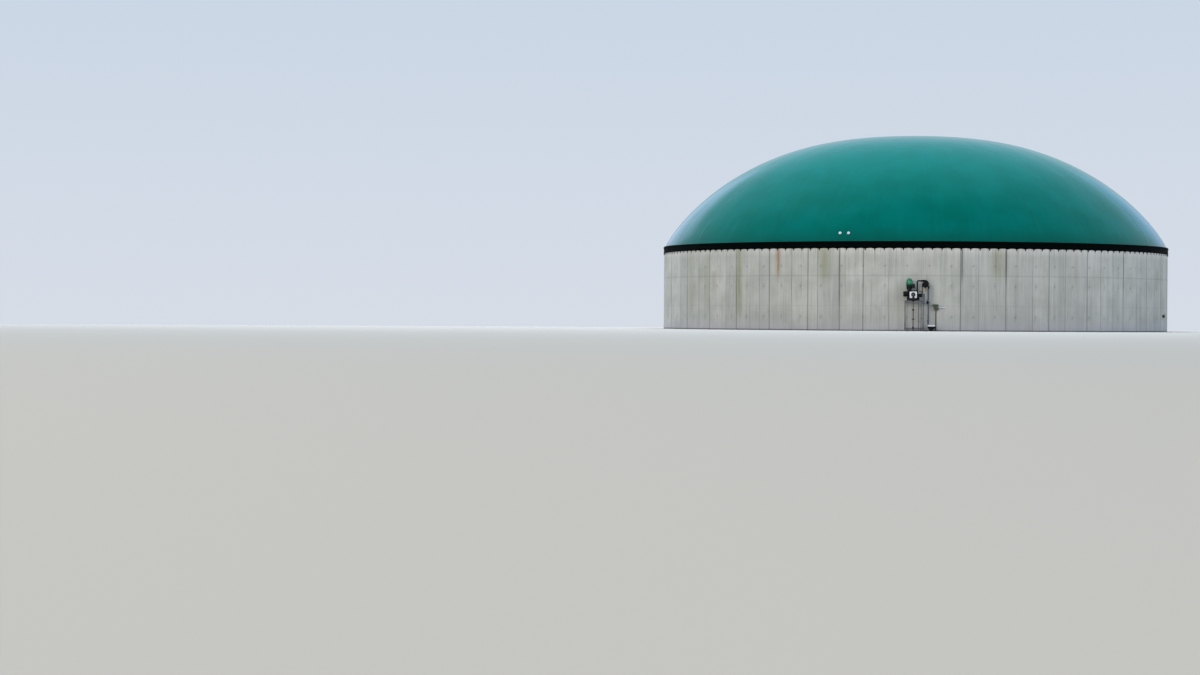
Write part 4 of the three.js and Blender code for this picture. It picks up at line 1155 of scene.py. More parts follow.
# Seal ring
# The turned and black-painted gland in the middle of the plate. It presses a packing round the shaft, whose
# end shows in its bore, and eight screws tighten its front.
seal_back = bearing_back - bearing_thickness - seat
seal_width = 0.11
seal_radius = 0.115
seal_bore = 0.062
gland = [(seal_radius, 0.0), (seal_radius, 0.03), (0.108, 0.034), (0.108, 0.07), (seal_radius, 0.074)]
gland += [(seal_radius, seal_width - 0.005), (0.11, seal_width), (seal_bore + 0.004, seal_width)]
gland += [(seal_bore, seal_width - 0.004), (seal_bore, seal_width - 0.025)]
shaft_end = [(0.03, seal_width - 0.026), (0.03, seal_width - 0.014), (0.027, seal_width - 0.011)]
seal_frame = facing((drive_x, seal_back, seal_height), front)
seal_face = facing((drive_x, seal_back - seal_width, seal_height), front)
seal = [
    copies(joined(turned(gland, 48), turned(shaft_end, 24, 1)), seal_frame),
    bolts(0.007, seal_face, circle(0.088, 8, 22.5), 1),
]
dress("seal_ring", "black_casting", "shaft_seal", seal, iron, stainless)

# Drain pipe
# What the gland leaks falls through a neck into a hopper of folded sheet steel, welded and painted black,
# and runs down a pipe to the ground. A ball valve and a capped tee sit on its way, and a coupling above its
# anchored foot.
def lever(left_end, right_end, y, height, thickness, depth, corner=0.002, paint=0):
    """A flat bar that lies level across the front."""
    return bar((left_end, y, height), (right_end, y, height), thickness, depth, corner, paint)


def eased(before, corner, after, bend, steps):
    """A corner between two points as a parabola that leaves and meets its sides at the bend's distance."""
    leave = corner + bend * (before - corner) / np.linalg.norm(before - corner)
    meet = corner + bend * (after - corner) / np.linalg.norm(after - corner)
    t = np.linspace(0, 1, steps + 1)[:, None]
    return (1 - t) ** 2 * leave + 2 * t * (1 - t) * corner + t**2 * meet


def softened(corners):
    """A closed outline whose corners are rounded over, from 10 mm before each to 10 mm past it."""
    corners = np.array(corners, float)
    rows = zip(np.roll(corners, 1, 0), corners, np.roll(corners, -1, 0))
    return np.concatenate([eased(*row, bend=0.01, steps=3) for row in rows])


drain_low, drain_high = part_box("drain_pipe")
pan_half = (drain_high[0] - drain_low[0]) / 2
pan_left, pan_right = drive_x - pan_half, drive_x + pan_half
pan_depth = 0.11
pan_top, pan_shoulder, pan_bottom = 1.79, 1.74, 1.61
neck_half = 0.055
drain_y = seal_back - seal_width / 2
pan_outline = [(-0.018, pan_bottom), (0.018, pan_bottom), (pan_half, pan_shoulder), (pan_half, pan_top)]
pan_outline += [(neck_half, pan_top), (neck_half, drain_high[2]), (-neck_half, drain_high[2])]
pan_outline += [(-neck_half, pan_top), (-pan_half, pan_top), (-pan_half, pan_shoulder)]
pan_frame = facing((drive_x, drain_y + pan_depth / 2, 0.0), front)
lip_front = drain_y - pan_depth / 2 - 0.004
upper_pipe, lower_pipe = 0.016, 0.022
coupling_height, tee_height, ball_height = 0.195, 0.64, 1.1525
ball_reach = 0.0525
drain_coupling = both_ways([(lower_pipe, -0.045), (0.042, -0.043), (0.045, -0.037)])
drain_ball = both_ways([(0.034, -0.0505), (0.034, -0.0405), (0.046, -0.0345), (0.052, -0.0225)])
drain_line = [(0.04, 0.0), (0.04, 0.011), (0.037, 0.014), (0.027, 0.014), (lower_pipe, 0.02)]
drain_line += lifted(drain_coupling, coupling_height) + collar(lower_pipe, 0.028, tee_height, 0.03)
drain_line += [(lower_pipe, ball_height - ball_reach), *lifted(drain_ball, ball_height)]
drain_line += [(upper_pipe, ball_height + ball_reach), (upper_pipe, pan_bottom + 0.01)]
tee_half = 0.075
tee = both_ways(lifted([(0.018, 0.0), (0.022, 0.003), (0.022, 0.025), (0.018, 0.027)], -tee_half))
valve_height = 1.152
valve_stem = [(0.006, 0.045), (0.006, 0.06), (0.014, 0.061), (0.014, 0.068)]
handle_y = drain_y - 0.064
lip_screws = facing((drive_x, lip_front, pan_top - 0.015), front)
drain = [
    copies(extruded(softened(pan_outline), 0.0, pan_depth, 0.004), pan_frame),
    block((pan_left, lip_front, pan_top - 0.03), (pan_right, lip_front + 0.008, pan_top), 0.002),
    bolts(0.006, lip_screws, [(-0.16, 0), (0.16, 0)], 1),
    lathe(standing(drive_x, drain_y), drain_line, 28),
    lathe(facing((drive_x, drain_y, tee_height), right), tee, 24),
    lathe(facing((drive_x, drain_y, valve_height), front), valve_stem, 12),
    lever(drive_x - 0.008, drive_x + 0.06, handle_y, valve_height, 0.006, 0.016),
    bolts(0.0045, standing(drive_x, drain_y, 0.014), circle(0.033, 4, 45.0), 1),
]
dress("drain_pipe", "black_casting", "seal_drain", drain, iron, stainless)

# Motor lantern
# The cast iron bell between the gearbox and its motor, which holds the coupling. Six ribs run from its neck
# out to a drum between two flanges, to whose top the motor is bolted.
lantern_low, lantern_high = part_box("motor_lantern")
neck_radius = 0.112
motor_radius = 0.165
drum_foot = lantern_high[2] - 0.13
bell = lifted([(neck_radius, 0.0), (neck_radius, 0.014), (0.1, 0.018)], lantern_low[2])
drum_edge = [(0.1, -0.028), (neck_radius, -0.02), (0.16, 0.0), (motor_radius, 0.004), (motor_radius, 0.026)]
bell += lifted([*drum_edge, (0.158, 0.03)], drum_foot)
motor_seat = [(0.158, -0.03), (motor_radius, -0.026), (motor_radius, -0.002), (0.163, 0.0)]
bell += lifted(motor_seat, lantern_high[2])
lantern = [lathe(standing(motor_x, axle_y), bell, 48)]
for way in circle(1.0, 6, 30.0):
    outward = np.append(way, 0.0)
    corner = np.array([motor_x, axle_y, drum_foot]) + 0.098 * outward
    lantern.append(gusset(corner, outward, down, 0.058, 0.08, 0.012))
under_drum = facing((motor_x, axle_y, drum_foot - 0.004), down)
lantern.append(bolts(0.009, under_drum, circle(0.146, 6), 1))
dress("motor_lantern", "black_casting", "coupling_bell", lantern, iron, stainless)


# Drive motor
# A flanged electric motor that stands on the bell, enamelled green: a cast body with forty cooling fins, two
# end shields, a pressed fan cowl with slots round its foot, and a round rain hood over its top. Fins and
# lower shield are a darker green, painted shade for the gaps between the fins.
def motor_enamel():
    """Green machinery enamel, sprayed: glossy and even, a little chalked by the sun on what faces up."""
    sockets = {"Roughness": 0.22, "Coat Weight": 0.4, "Coat Roughness": 0.12}
    return coated_metal("green_machinery_enamel", "#15704b", "#35a074", sockets, 0.003, 0.1)


def fin_shade_paint():
    """Dark green on the cast fins and the lower shield, thin and matt: painted shade for the gaps between the
    fins.
    """
    sockets = {"Roughness": 0.55, "Specular IOR Level": 0.12}
    return coated_metal("painted_shade_fin_green", "#06351f", "#0f4630", sockets)


green, dark_green = motor_enamel(), fin_shade_paint()
motor_low, motor_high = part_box("drive_motor")
cowl_radius = (motor_high[0] - motor_low[0]) / 2
cowl_bottom = 2.56
crown_rise = 0.24
crown_foot = motor_high[2] - crown_rise
fin_count = 40
fin_root = 0.143
fin_turn = np.linspace(0, 2 * np.pi, fin_count, endpoint=False)[:, None]
fin_step = np.radians([-1.6, -1.2, 1.2, 1.6])
fin_reach = np.array([fin_root, motor_radius - 0.002, motor_radius - 0.002, fin_root])
fin_outline = np.stack([fin_reach * np.cos(fin_turn + fin_step), fin_reach * np.sin(fin_turn + fin_step)], -1)
fin_foot, fin_top = motor_low[2] + 0.03, cowl_bottom - 0.024
foot_ring = [(0.162, 0.0), (motor_radius, 0.003), (motor_radius, 0.02), (0.15, 0.026), (0.15, 0.04)]
lower_shield = lifted(foot_ring, motor_low[2])
upper_shield = lifted([(0.15, -0.014), (0.15, 0.0), (motor_radius, 0.004)], fin_top)
upper_shield += [(motor_radius, cowl_bottom), (0.16, cowl_bottom + 0.002)]
cowl_top = [(cowl_radius, -0.012), (cowl_radius - 0.006, -0.006), (cowl_radius - 0.006, 0.002)]
cowl = [(0.168, cowl_bottom - 0.012), (cowl_radius, cowl_bottom - 0.012), *lifted(cowl_top, crown_foot)]
crown_turn = np.radians(np.linspace(4, 87, 16))
hood = [(cowl_radius - 0.004, crown_foot), (cowl_radius, crown_foot + 0.003)]
hood += list(zip(cowl_radius * np.cos(crown_turn), crown_foot + crown_rise * np.sin(crown_turn)))
upright_motor = standing(motor_x, axle_y)
slot = extruded(rounded_rectangle(0.008, 0.04, 0.0035, 3), 0.0, 0.0015, 0.0003, 1)
slot_frames = [
    facing((motor_x + cowl_radius * x, axle_y + cowl_radius * y, cowl_bottom + 0.025), (x, y, 0.0))
    for x, y in circle(1.0, 36)
]
motor = [
    # the fins and the lower shield take paint 3, a dark green that is painted shade for the gaps between the
    # fins
    copies(extruded(fin_outline.reshape(-1, 2), fin_foot, fin_top, 0.0006, 3), upright_motor),
    lathe(upright_motor, lower_shield, 64, 3),
    *(lathe(upright_motor, profile, 64) for profile in (upper_shield, cowl, hood)),
    copies(slot, np.stack(slot_frames)),
    bolts(0.007, standing(motor_x, axle_y, motor_low[2] + 0.026), circle(0.157, 4, 45.0), 2),
    bolts(0.006, standing(motor_x, axle_y, motor_high[2] - 0.004), circle(0.02, 3), 2),
    copies(ring(0.022, 0.006, 24, 10), facing((motor_x - 0.158, axle_y, cowl_bottom - 0.06), front)),
]
dress("drive_motor", "green_paint", "green_motor", motor, green, iron, stainless, dark_green)


# Terminal box
# The die-cast box on the motor's side where its cable ends, painted black, with a lid held by four screws
# and two nickel-plated cable glands underneath.
def middle(low, high):
    """The point half way between two corners."""
    return (np.array(low) + high) / 2


def box_with_lid(low, high, lid, screw_paint=1):
    """A housing that opens to the front: its body, a lid that stands out a little, and four screws."""
    low, high = np.array(low, float), np.array(high, float)
    width, depth, height = high - low
    x, _, z = middle(low, high)
    screws = [(i * (width / 2 - 0.014), j * (height / 2 - 0.014)) for i in (-1, 1) for j in (-1, 1)]
    head = turned([(0.006, 0.0), (0.006, 0.002), (0.0045, 0.0035)], 14, screw_paint)
    return joined(
        plate(x, z, high[1], depth - lid, width - 0.006, height - 0.006, 0.01),
        plate(x, z, low[1] + lid - 0.002, lid - 0.002, width, height, 0.012),
        copies(head, spots(facing((x, low[1], z), front), screws)),
    )


gland_nut = joined(
    turned([(0.013, -0.002), (0.013, 0.008)], 6, 1),
    turned([(0.01, 0.006), (0.011, 0.01), (0.011, 0.02), (0.007, 0.026)], 16, 1),
)


def cable_glands(low, high, apart, y=None):
    """Two glands under a box, on either side of its middle or of the middle's line at y."""
    x, middle_y, _ = middle(low, high)
    under_box = facing((x, middle_y if y is None else y, low[2]), down)
    return copies(gland_nut, spots(under_box, [(-apart, 0.0), (apart, 0.0)]))


terminal_low, terminal_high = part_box("terminal_box")
terminals = [
    box_with_lid(terminal_low, terminal_high, 0.03),
    cable_glands(terminal_low, terminal_high, 0.03, axle_y),
]
dress("terminal_box", "black_casting", "motor_terminals", terminals, iron, stainless)


# Service pipes
# Two threaded steel water pipes that flush the gland, each painted dark and shut by a ball valve at knee
# height, whose flat lever has a red vinyl sleeve.
def dark_pipe_paint():
    """Threaded steel pipe under brushed blue-grey paint: satin, with 5 mm brush marks and faded patches."""
    return coated_metal("blue_grey_pipe_paint", "#4c515d", "#636875", {"Roughness": 0.5}, 0.005, 0.25)


def dipped_vinyl():
    """Red PVC that a lever was dipped in: soft, slightly glossy and sun-faded, with 3 mm pimples."""
    return coated_metal("dipped_red_vinyl", "#a02a24", "#b8564d", {"Roughness": 0.45}, 0.003, 0.2)


pipe_paint = dark_pipe_paint()
vinyl = dipped_vinyl()
service_pipes = {"left": 0.52, "right": 0.68}
service_out = 0.39
service_radius = 0.017

service_coupling = 1.2
service_valve = both_ways([(service_radius, -0.036), (0.024, -0.034), (0.024, -0.02), (0.029, -0.014)])
pipe_y = before_wall(service_out)

for side, lever_height in service_pipes.items():
    box_low, box_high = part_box(f"service_pipe_{side}")
    pipe_x = box_high[0] - 0.11
    line = [(service_radius, 0.0), *lifted(service_valve, lever_height)]
    line += [*collar(service_radius, 0.023, service_coupling, 0.02), (service_radius, box_high[2])]
    lever_y, stem_end = box_low[1] + 0.006, box_low[1] + 0.002
    service = [
        lathe(standing(pipe_x, pipe_y), line, 24),
        bar((pipe_x, pipe_y, lever_height), (pipe_x, stem_end, lever_height), 0.012, 0.012, 0.005, 2),
        lever(pipe_x - 0.012, pipe_x + 0.04, lever_y, lever_height, 0.005, 0.02, paint=2),
        lever(pipe_x + 0.03, pipe_x + 0.109, lever_y, lever_height, 0.01, 0.023, 0.004, 1),
    ]
    dress(f"service_pipe_{side}", "dark_pipe", f"flush_pipe_{side}", service, pipe_paint, vinyl, stainless)

# Control box
# The narrow steel cabinet of the mixer's switches, painted blue-grey, on a rail in front of the stand's
# right leg. Four screws hold its door, which carries a rotary switch, and two cable glands sit underneath.
control_low, control_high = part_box("control_box")
cabinet_back = before_wall(0.6323)
cabinet_x = (control_low[0] + control_high[0]) / 2
cabinet_y = (control_low[1] + cabinet_back) / 2
rail_left, rail_foot, rail_side = 0.54, 1.54, 0.05
rail_start = (rail_left, cabinet_back - 0.004, rail_foot)
rail_end = (rail_left + rail_side, control_high[1], rail_foot + rail_side)
knob = [(0.024, -0.002), (0.024, 0.004), (0.015, 0.006), (0.013, 0.022), (0.01, 0.024)]
cabinet = [
    box_with_lid(control_low, (control_high[0], cabinet_back, control_high[2]), 0.022, 2),
    block(rail_start, rail_end),
    lathe(facing((cabinet_x, control_low[1], control_high[2] - 0.12), front), knob, 24, 1),
    cable_glands(control_low, control_high, 0.03, cabinet_y),
]
dress("control_box", "dark_pipe", "switch_cabinet", cabinet, pipe_paint, iron, stainless)

# Blower bracket
# A welded and galvanised console that holds the blower off the wall: one plate anchored to the concrete,
# one bolted to the blower's back, and a square arm with two ribs between them.
bracket_low, bracket_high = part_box("blower_bracket")
blower_x, _, wall_plate_z = middle(bracket_low, bracket_high)
blower_height = 2.545
bracket_plate = 0.012
bracket_width = bracket_high[0] - bracket_low[0]
wall_plate_height = bracket_high[2] - bracket_low[2]
arm_back = bracket_high[1] - bracket_plate
arm_front = bracket_low[1] + bracket_plate
wall_bolts = [(x, z) for x in (-0.035, 0.035) for z in (-0.13, 0.0, 0.13)]
bracket = [
    plate(blower_x, wall_plate_z, bracket_high[1], bracket_plate, bracket_width, wall_plate_height),
    plate(blower_x, blower_height, arm_front, bracket_plate, bracket_width, 0.2),
    bar((blower_x, arm_back + 0.002, blower_height), (blower_x, arm_front - 0.002, blower_height), 0.05, 0.1),
    gusset((blower_x, arm_back, blower_height + 0.048), front, up, 0.16, 0.075, 0.008),
    gusset((blower_x, arm_back, blower_height - 0.048), front, down, 0.2, 0.12, 0.008),
    bolts(0.011, facing((blower_x, arm_back, wall_plate_z), front), wall_bolts),
]
dress("blower_bracket", "galvanised_steel", "blower_console", bracket, zinc)

# Air blower
# The small fan that keeps the dome inflated, in a black snail housing of pressed steel: a scroll between two
# flanged side walls, a guarded inlet in front, and necks for its pipes.
blower_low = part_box("air_blower")[0]
valve_x = 0.69
blower_width = 0.18
blower_back = pipes_y + blower_width / 2
blower_front = pipes_y - blower_width / 2
scroll_start, scroll_end = 0.14, 0.24
outlet_reach = 0.2
scroll_steps = 67
scroll_turn = np.radians(np.linspace(120, 450, scroll_steps))
scroll_radius = np.linspace(scroll_start, scroll_end, scroll_steps)
scroll = np.stack([scroll_radius * np.cos(scroll_turn), scroll_radius * np.sin(scroll_turn)], -1)
mouth = [(-outlet_reach, scroll_end), (-outlet_reach, scroll_start)]
side_wall = np.concatenate([scroll, mouth])
drum_mouth = np.array(mouth) + [(0.0, -0.012), (0.0, 0.012)]
drum = np.concatenate([scroll * (1 - 0.012 / scroll_radius[:, None]), drum_mouth])
scroll_frame = facing((blower_x, blower_back, blower_height), front)
inlet_radius = 0.095
inlet_face = facing((blower_x, blower_low[1], blower_height), front)
inlet = [(0.108, 0.0), (0.108, 0.006), (inlet_radius, 0.01), (0.09, 0.03), (inlet_radius, 0.042)]
inlet += [(0.09, 0.045), (0.084, 0.042), (0.08, 0.015)]
neck_x = 0.84
neck = lifted([(0.04, 0.0), (0.04, 0.014), (0.038, 0.018)], blower_low[2]) + [(0.038, blower_height - 0.1)]
boss_foot = 2.318
boss = lifted([(0.03, 0.0), (0.032, 0.002), (0.032, 0.017), (0.026, 0.022)], boss_foot)
boss += [(0.026, blower_height - 0.1)]
vent_top = 2.4
vent_neck = lifted([(0.03, 0.0), (0.032, 0.002), (0.032, 0.018), (0.026, 0.022)], vent_top)
vent_neck += [(0.026, blower_height - 0.03)]
blower = [
    copies(extruded(drum, 0.004, blower_width - 0.004, 0.002), scroll_frame),
    copies(extruded(side_wall, 0.0, 0.006, 0.0015), scroll_frame),
    copies(extruded(side_wall, blower_width - 0.006, blower_width, 0.0015), scroll_frame),
    lathe(scroll_frame, lifted(inlet, blower_width), 48),
    lathe(standing(neck_x, pipes_y), neck, 32),
    lathe(standing(valve_x, pipes_y), boss, 24),
    lathe(standing(vent_x, pipes_y), vent_neck, 24),
    *(copies(ring(radius, 0.0022, 32, 6), inlet_face) for radius in (0.02, 0.04, 0.06, 0.08)),
]
for way in circle(0.086, 3):
    ends = [(blower_x + turn * way[0], blower_low[1], blower_height + turn * way[1]) for turn in (-1, 1)]
    blower.append(bar(*ends, 0.004, 0.004, 0.0018))
flange_points = scroll[3:-2:6] * (1 - 0.006 / scroll_radius[3:-2:6, None])
front_frame = facing((blower_x, blower_front, blower_height), front)
blower.append(bolts(0.0042, front_frame, flange_points, 1))
blower.append(bolts(0.006, front_frame, circle(0.102, 8, 22.5), 1))
dress("air_blower", "black_casting", "snail_blower", blower, iron, stainless)


# Blower outlet pipe
# Black plastic pressure pipe, pushed and glued together from a flange, a straight piece, an elbow and a
# long drop into the boss on the gearbox housing.
def rounded_path(points, bend):
    """A path whose corners are parabolas that leave and meet the straights at the bend's distance."""
    points = np.array(points, float)
    turns = [eased(*corner, bend, steps=10) for corner in zip(points, points[1:], points[2:])]
    return np.concatenate([points[:1], *turns, points[-1:]])


def pipe(path, radius, across, sides=24):
    """A round pipe along a path in one plane; across is the direction square to that plane."""
    ahead = np.gradient(path, axis=0)
    ahead /= np.linalg.norm(ahead, axis=1, keepdims=True)
    across = np.array(across, float)
    turn = circle(radius, sides)
    beside = np.cross(ahead, across)
    rims = path[:, None] + turn[None, :, :1] * across + turn[None, :, 1:] * beside[:, None]
    return skin(rims, wrap_columns=True, caps=True)


def pressure_plastic():
    """Extruded black polyethylene: waxy satin, greyed a little by the sun, with 4 mm die lines."""
    sockets = {"Roughness": 0.38, "Specular IOR Level": 0.45}
    return coated_metal("extruded_black_polyethylene", "#08090b", "#191b1e", sockets, 0.004, 0.3)


plastic_pipe = pressure_plastic()
outlet_low, outlet_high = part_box("blower_outlet_pipe")
outlet_radius = 0.042
outlet_z = blower_height + (scroll_start + scroll_end) / 2
outlet_end = outlet_high[0]
corners = [(outlet_end, pipes_y, outlet_z), (outlet_x, pipes_y, outlet_z), (outlet_x, pipes_y, outlet_low[2])]
socket = both_ways([(0.045, -0.024), (0.048, -0.022)])
flange = [(0.058, 0.0), (0.058, 0.014), (0.047, 0.016), (0.047, 0.04)]
coupling = [(0.056, 0.0), (0.06, 0.004), (0.06, 0.036), (0.052, 0.04), (0.052, 0.06), (0.06, 0.064)]
coupling += [(0.06, 0.096), (0.056, 0.1)]
flange_frame = facing((outlet_end, pipes_y, outlet_z), left)
flange_face = facing((outlet_end - 0.014, pipes_y, outlet_z), left)
outlet = [
    pipe(rounded_path(corners, 0.08), outlet_radius, (0, 1, 0), 28),
    lathe(flange_frame, flange, 28),
    lathe(facing((outlet_x + 0.095, pipes_y, outlet_z), right), socket, 28),
    lathe(standing(outlet_x, pipes_y, outlet_z - 0.095), socket, 28),
    lathe(standing(outlet_x, pipes_y, outlet_low[2]), coupling, 28),
    bolts(0.005, flange_face, circle(0.0515, 4, 45.0), 1),
]
dress("blower_outlet_pipe", "black_pipe", "pressure_pipe", outlet, plastic_pipe, stainless)

# Vent pipe
# The same black pressure pipe, glued into a boss on the gearbox's hub and a neck under the blower. A branch
# leaves its tee to the left and ends in a screwed cap.
vent_low, vent_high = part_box("vent_pipe")
branch_z = 2.15
branch_length = vent_x - vent_low[0]
riser_line = [(0.025, vent_low[2]), *collar(0.025, 0.03, branch_z, 0.034), (0.025, vent_high[2])]
branch_cap = [(0.019, -0.04), (0.022, -0.038), (0.022, -0.003), (0.019, 0.0)]
branch_line = [(0.025, 0.0), (0.025, 0.06), (0.019, 0.062), *lifted(branch_cap, branch_length)]
vent = [
    lathe(standing(vent_x, pipes_y), riser_line, 24),
    lathe(facing((vent_x, pipes_y, branch_z), left), branch_line, 24),
]
dress("vent_pipe", "black_pipe", "capped_vent", vent, plastic_pipe)


# Drain valve
# A threaded brass ball valve that lets the condensate out of the blower: hexagons at both ends of a round
# body, a flat lever on a short stem, and a bare spout.
def cast_brass():
    """Hot-pressed brass, left bare and dulled brown in patches 20 mm wide, with brighter worn edges."""
    material, tree, shader, place = new_material("hot_pressed_brass", {"Metallic": 0.85})
    tarnish = noise(tree, place, 0.02, 4.0)
    colour = layered(tree, "#c7ac58", ("#8f7638", 1.0, (tarnish, 0.35, 0.7)))
    tree.links.new(colour, shader.inputs["Base Color"])
    limits = {"Value": tarnish, "From Min": 0.3, "From Max": 0.7, "To Min": 0.28, "To Max": 0.5}
    dulled = add_node(tree, "ShaderNodeMapRange", limits, interpolation_type="SMOOTHSTEP")
    tree.links.new(dulled.outputs["Result"], shader.inputs["Roughness"])
    bump(tree, shader, (noise(tree, place, 0.004, 2.0), 0.0002))
    return material


brass = cast_brass()
valve_low, valve_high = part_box("drain_valve")
upright_valve = standing(valve_x, pipes_y, valve_low[2])
stem_height = valve_high[2] - 0.07
body = [(0.022, 0.0), (0.022, 0.05), (0.026, 0.053), (0.034, 0.066), (0.036, 0.08), (0.036, 0.108)]
body += [(0.033, 0.12), (0.026, 0.13), (0.024, 0.135)]
stem = [(0.009, 0.0), (0.009, 0.066), (0.013, 0.0665), (0.013, 0.0695)]
lever_y = valve_low[1] + 0.004
valve = [
    lathe(upright_valve, body, 28),
    lathe(upright_valve, [(0.026, 0.134), (0.028, 0.137), (0.028, 0.16), (0.026, 0.165)], 6),
    lathe(upright_valve, [(0.025, 0.012), (0.027, 0.015), (0.027, 0.038), (0.025, 0.041)], 6),
    lathe(facing((valve_x, pipes_y, stem_height), front), stem, 12),
    lever(valve_x - 0.01, valve_x + 0.075, lever_y, stem_height, 0.006, 0.02),
]
dress("drain_valve", "brass", "brass_drain_valve", valve, brass)

# Riser pipe
# Steel pipe DN 65 that leads the condensate of the blower down to the pit, painted blue-grey. It stands on
# the lid with a bolted flange, a ball valve follows above it, and a welded sleeve joins its two lengths.
riser_low, riser_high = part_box("riser_pipe")
riser_x = riser_high[0] - 0.066
riser_radius = 0.04
riser_flange = 0.066
flange_thickness = 0.018
riser_foot, riser_top = riser_low[2], riser_high[2]
lever_z = 0.535
sleeve_height = 2.02
riser_end = [(riser_flange - 0.002, 0.0), (riser_flange, 0.002), (riser_flange, flange_thickness - 0.002)]
riser_end += [(riser_flange - 0.002, flange_thickness), (0.046, flange_thickness), (riser_radius, 0.026)]
riser_valve = [(riser_radius, -0.085), (0.05, -0.083), (0.05, -0.055), (0.056, -0.053), (0.06, -0.03)]
riser = lifted(riser_end, riser_foot) + lifted(both_ways(riser_valve), lever_z)
riser += collar(riser_radius, 0.045, sleeve_height, 0.045)
riser += [(radius, riser_top - along) for radius, along in reversed(riser_end)]
lever_y = pipes_y - 0.068
above_flange = standing(riser_x, pipes_y, riser_foot + flange_thickness)
below_flange = facing((riser_x, pipes_y, riser_top - flange_thickness), down)
riser_shape = [
    lathe(standing(riser_x, pipes_y), riser, 36),
    bar((riser_x, pipes_y - 0.05, lever_z), (riser_x, pipes_y - 0.072, lever_z), 0.02, 0.02, 0.008, 1),
    lever(riser_low[0], riser_x + 0.012, lever_y, lever_z, 0.008, 0.022, 0.006),
    bolts(0.006, above_flange, circle(0.056, 4, 45.0), 1),
    bolts(0.006, below_flange, circle(0.056, 4, 45.0), 1),
]
dress("riser_pipe", "dark_pipe", "air_riser", riser_shape, pipe_paint, stainless)

# Riser clamp
# A cast iron pipe clamp half way up the riser, enamelled black: two half rings drawn together by a bolt on
# each side, with a heavy lug on the left, on a short arm whose plate is anchored to the wall.
clamp_low, clamp_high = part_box("riser_clamp")
clamp_height = 1.54
clamp_radius = 0.052
clamp_plate = 0.012
clamp_bore = riser_radius + seat
lug_foot = 1.47
lug_right = riser_x - clamp_bore
half_ring = np.array([(clamp_bore, -0.03), (clamp_radius, -0.03), (clamp_radius, 0.03), (clamp_bore, 0.03)])
rim = circle(1.0, 40)
band_ring = np.stack(
    [np.concatenate([radius * rim, np.full((40, 1), height)], -1) for radius, height in half_ring]
)
ear_bolts = facing((riser_x, pipes_y - 0.014, clamp_height), front)
plate_bolts = facing((riser_x, clamp_high[1] - clamp_plate, clamp_height), front)
arm_ends = [(riser_x, y, clamp_height) for y in (clamp_high[1] - 0.01, pipes_y + clamp_radius - 0.002)]
clamp = [
    copies(skin(band_ring, wrap_rows=True, wrap_columns=True), standing(riser_x, pipes_y, clamp_height)),
    *(
        block(
            (riser_x + 0.048, pipes_y + gap - 0.005, clamp_height - 0.03),
            (riser_x + 0.08, pipes_y + gap + 0.005, clamp_height + 0.03),
        )
        for gap in (-0.009, 0.009)
    ),
    block((clamp_low[0], pipes_y - 0.03, lug_foot), (lug_right, pipes_y + 0.03, clamp_high[2]), 0.006),
    bar(*arm_ends, 0.04, 0.04),
    plate(riser_x, clamp_height, clamp_high[1], clamp_plate, 0.11, 0.16),
    bolts(0.006, ear_bolts, [(0.066, 0.0)], 1),
    bolts(0.008, plate_bolts, [(0.0, -0.055), (0.0, 0.055)], 1),
]
dress("riser_clamp", "black_casting", "pipe_clamp", clamp, iron, stainless)

# Pit base
# The black body of the condensate pit, cast in one piece: a narrow foot that flares to the collar on which
# the lid lies, with three ribs on its front. It stands on the ground before the wall.
pit_low, pit_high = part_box("pit_base")
lid_low, lid_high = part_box("pit_lid")
foot_left, foot_right = 0.9, 1.115
collar_height = 0.16
collar_flare = 0.06
pit_depth = pit_high[1] - pit_low[1]
pit_outline = [(foot_left, 0.0), (foot_right, 0.0), (foot_right, collar_height - collar_flare)]
pit_outline += [(pit_high[0], collar_height), (pit_high[0], pit_high[2]), (pit_low[0], pit_high[2])]
pit_outline += [(pit_low[0], collar_height), (foot_left, collar_height - collar_flare)]
pit_frame = facing((0, pit_high[1], 0), front)
pit_shape = [
    copies(extruded(softened(pit_outline), 0.0, pit_depth - 0.006, 0.006), pit_frame),
    *(
        block((x - 0.006, pit_low[1], 0.01), (x + 0.006, pit_low[1] + 0.02, pit_high[2] - 0.03), 0.002)
        for x in np.linspace(foot_left + 0.02, foot_right - 0.02, 3)
    ),
]
dress("pit_base", "black_casting", "condensate_pit", pit_shape, iron)

# Pit lid
# A box-shaped lid of sheet steel, folded down all round, powder-coated white and soiled by splashes. A flat
# rim stands out at its top, and four screws in its front hold it to the collar.
soiled_coat = coated_metal("soiled_powder_coat", "#eceef0", "#cfd3d5", {"Roughness": 0.5}, 0.003, 0.2)
lid_rim = 0.012
lid_inset = 0.008
screw_columns = np.linspace(lid_low[0] + 0.05, lid_high[0] - 0.05, 4)
lid_screws = facing((0, lid_low[1] + lid_inset, lid_low[2] + 0.035), front)
lid = [
    block(
        (lid_low[0] + lid_inset, lid_low[1] + lid_inset, lid_low[2]),
        (lid_high[0] - lid_inset, lid_high[1], lid_high[2] - 0.004),
        0.004,
    ),
    block((lid_low[0], lid_low[1], lid_high[2] - lid_rim), lid_high, 0.004),
    bolts(0.007, lid_screws, [(x, 0.0) for x in screw_columns], 1),
]
dress("pit_lid", "white_enamel", "white_pit_lid", lid, soiled_coat, stainless)

# Junction post
# A post of rectangular steel tube, painted olive and anchored to the wall through its face behind the pit.
# The two junction boxes are screwed to its front.
olive_paint = coated_metal("olive_post_paint", "#2f3627", "#434a37", {"Roughness": 0.5}, 0.004, 0.2)
post_low, post_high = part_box("junction_post")
post_x, post_y, _ = middle(post_low, post_high)
post_width, post_depth, _ = np.subtract(post_high, post_low)
post_bolt_heights = (0.45, 0.75, 1.05)
post_face = facing((post_x, post_low[1], 0.0), front)
post = [
    bar((post_x, post_y, 0.0), (post_x, post_y, post_high[2]), post_width, post_depth, 0.004),
    bolts(0.006, post_face, [(0.0, height) for height in post_bolt_heights], 1),
]
dress("junction_post", "dark_pipe", "post_channel", post, olive_paint, stainless)


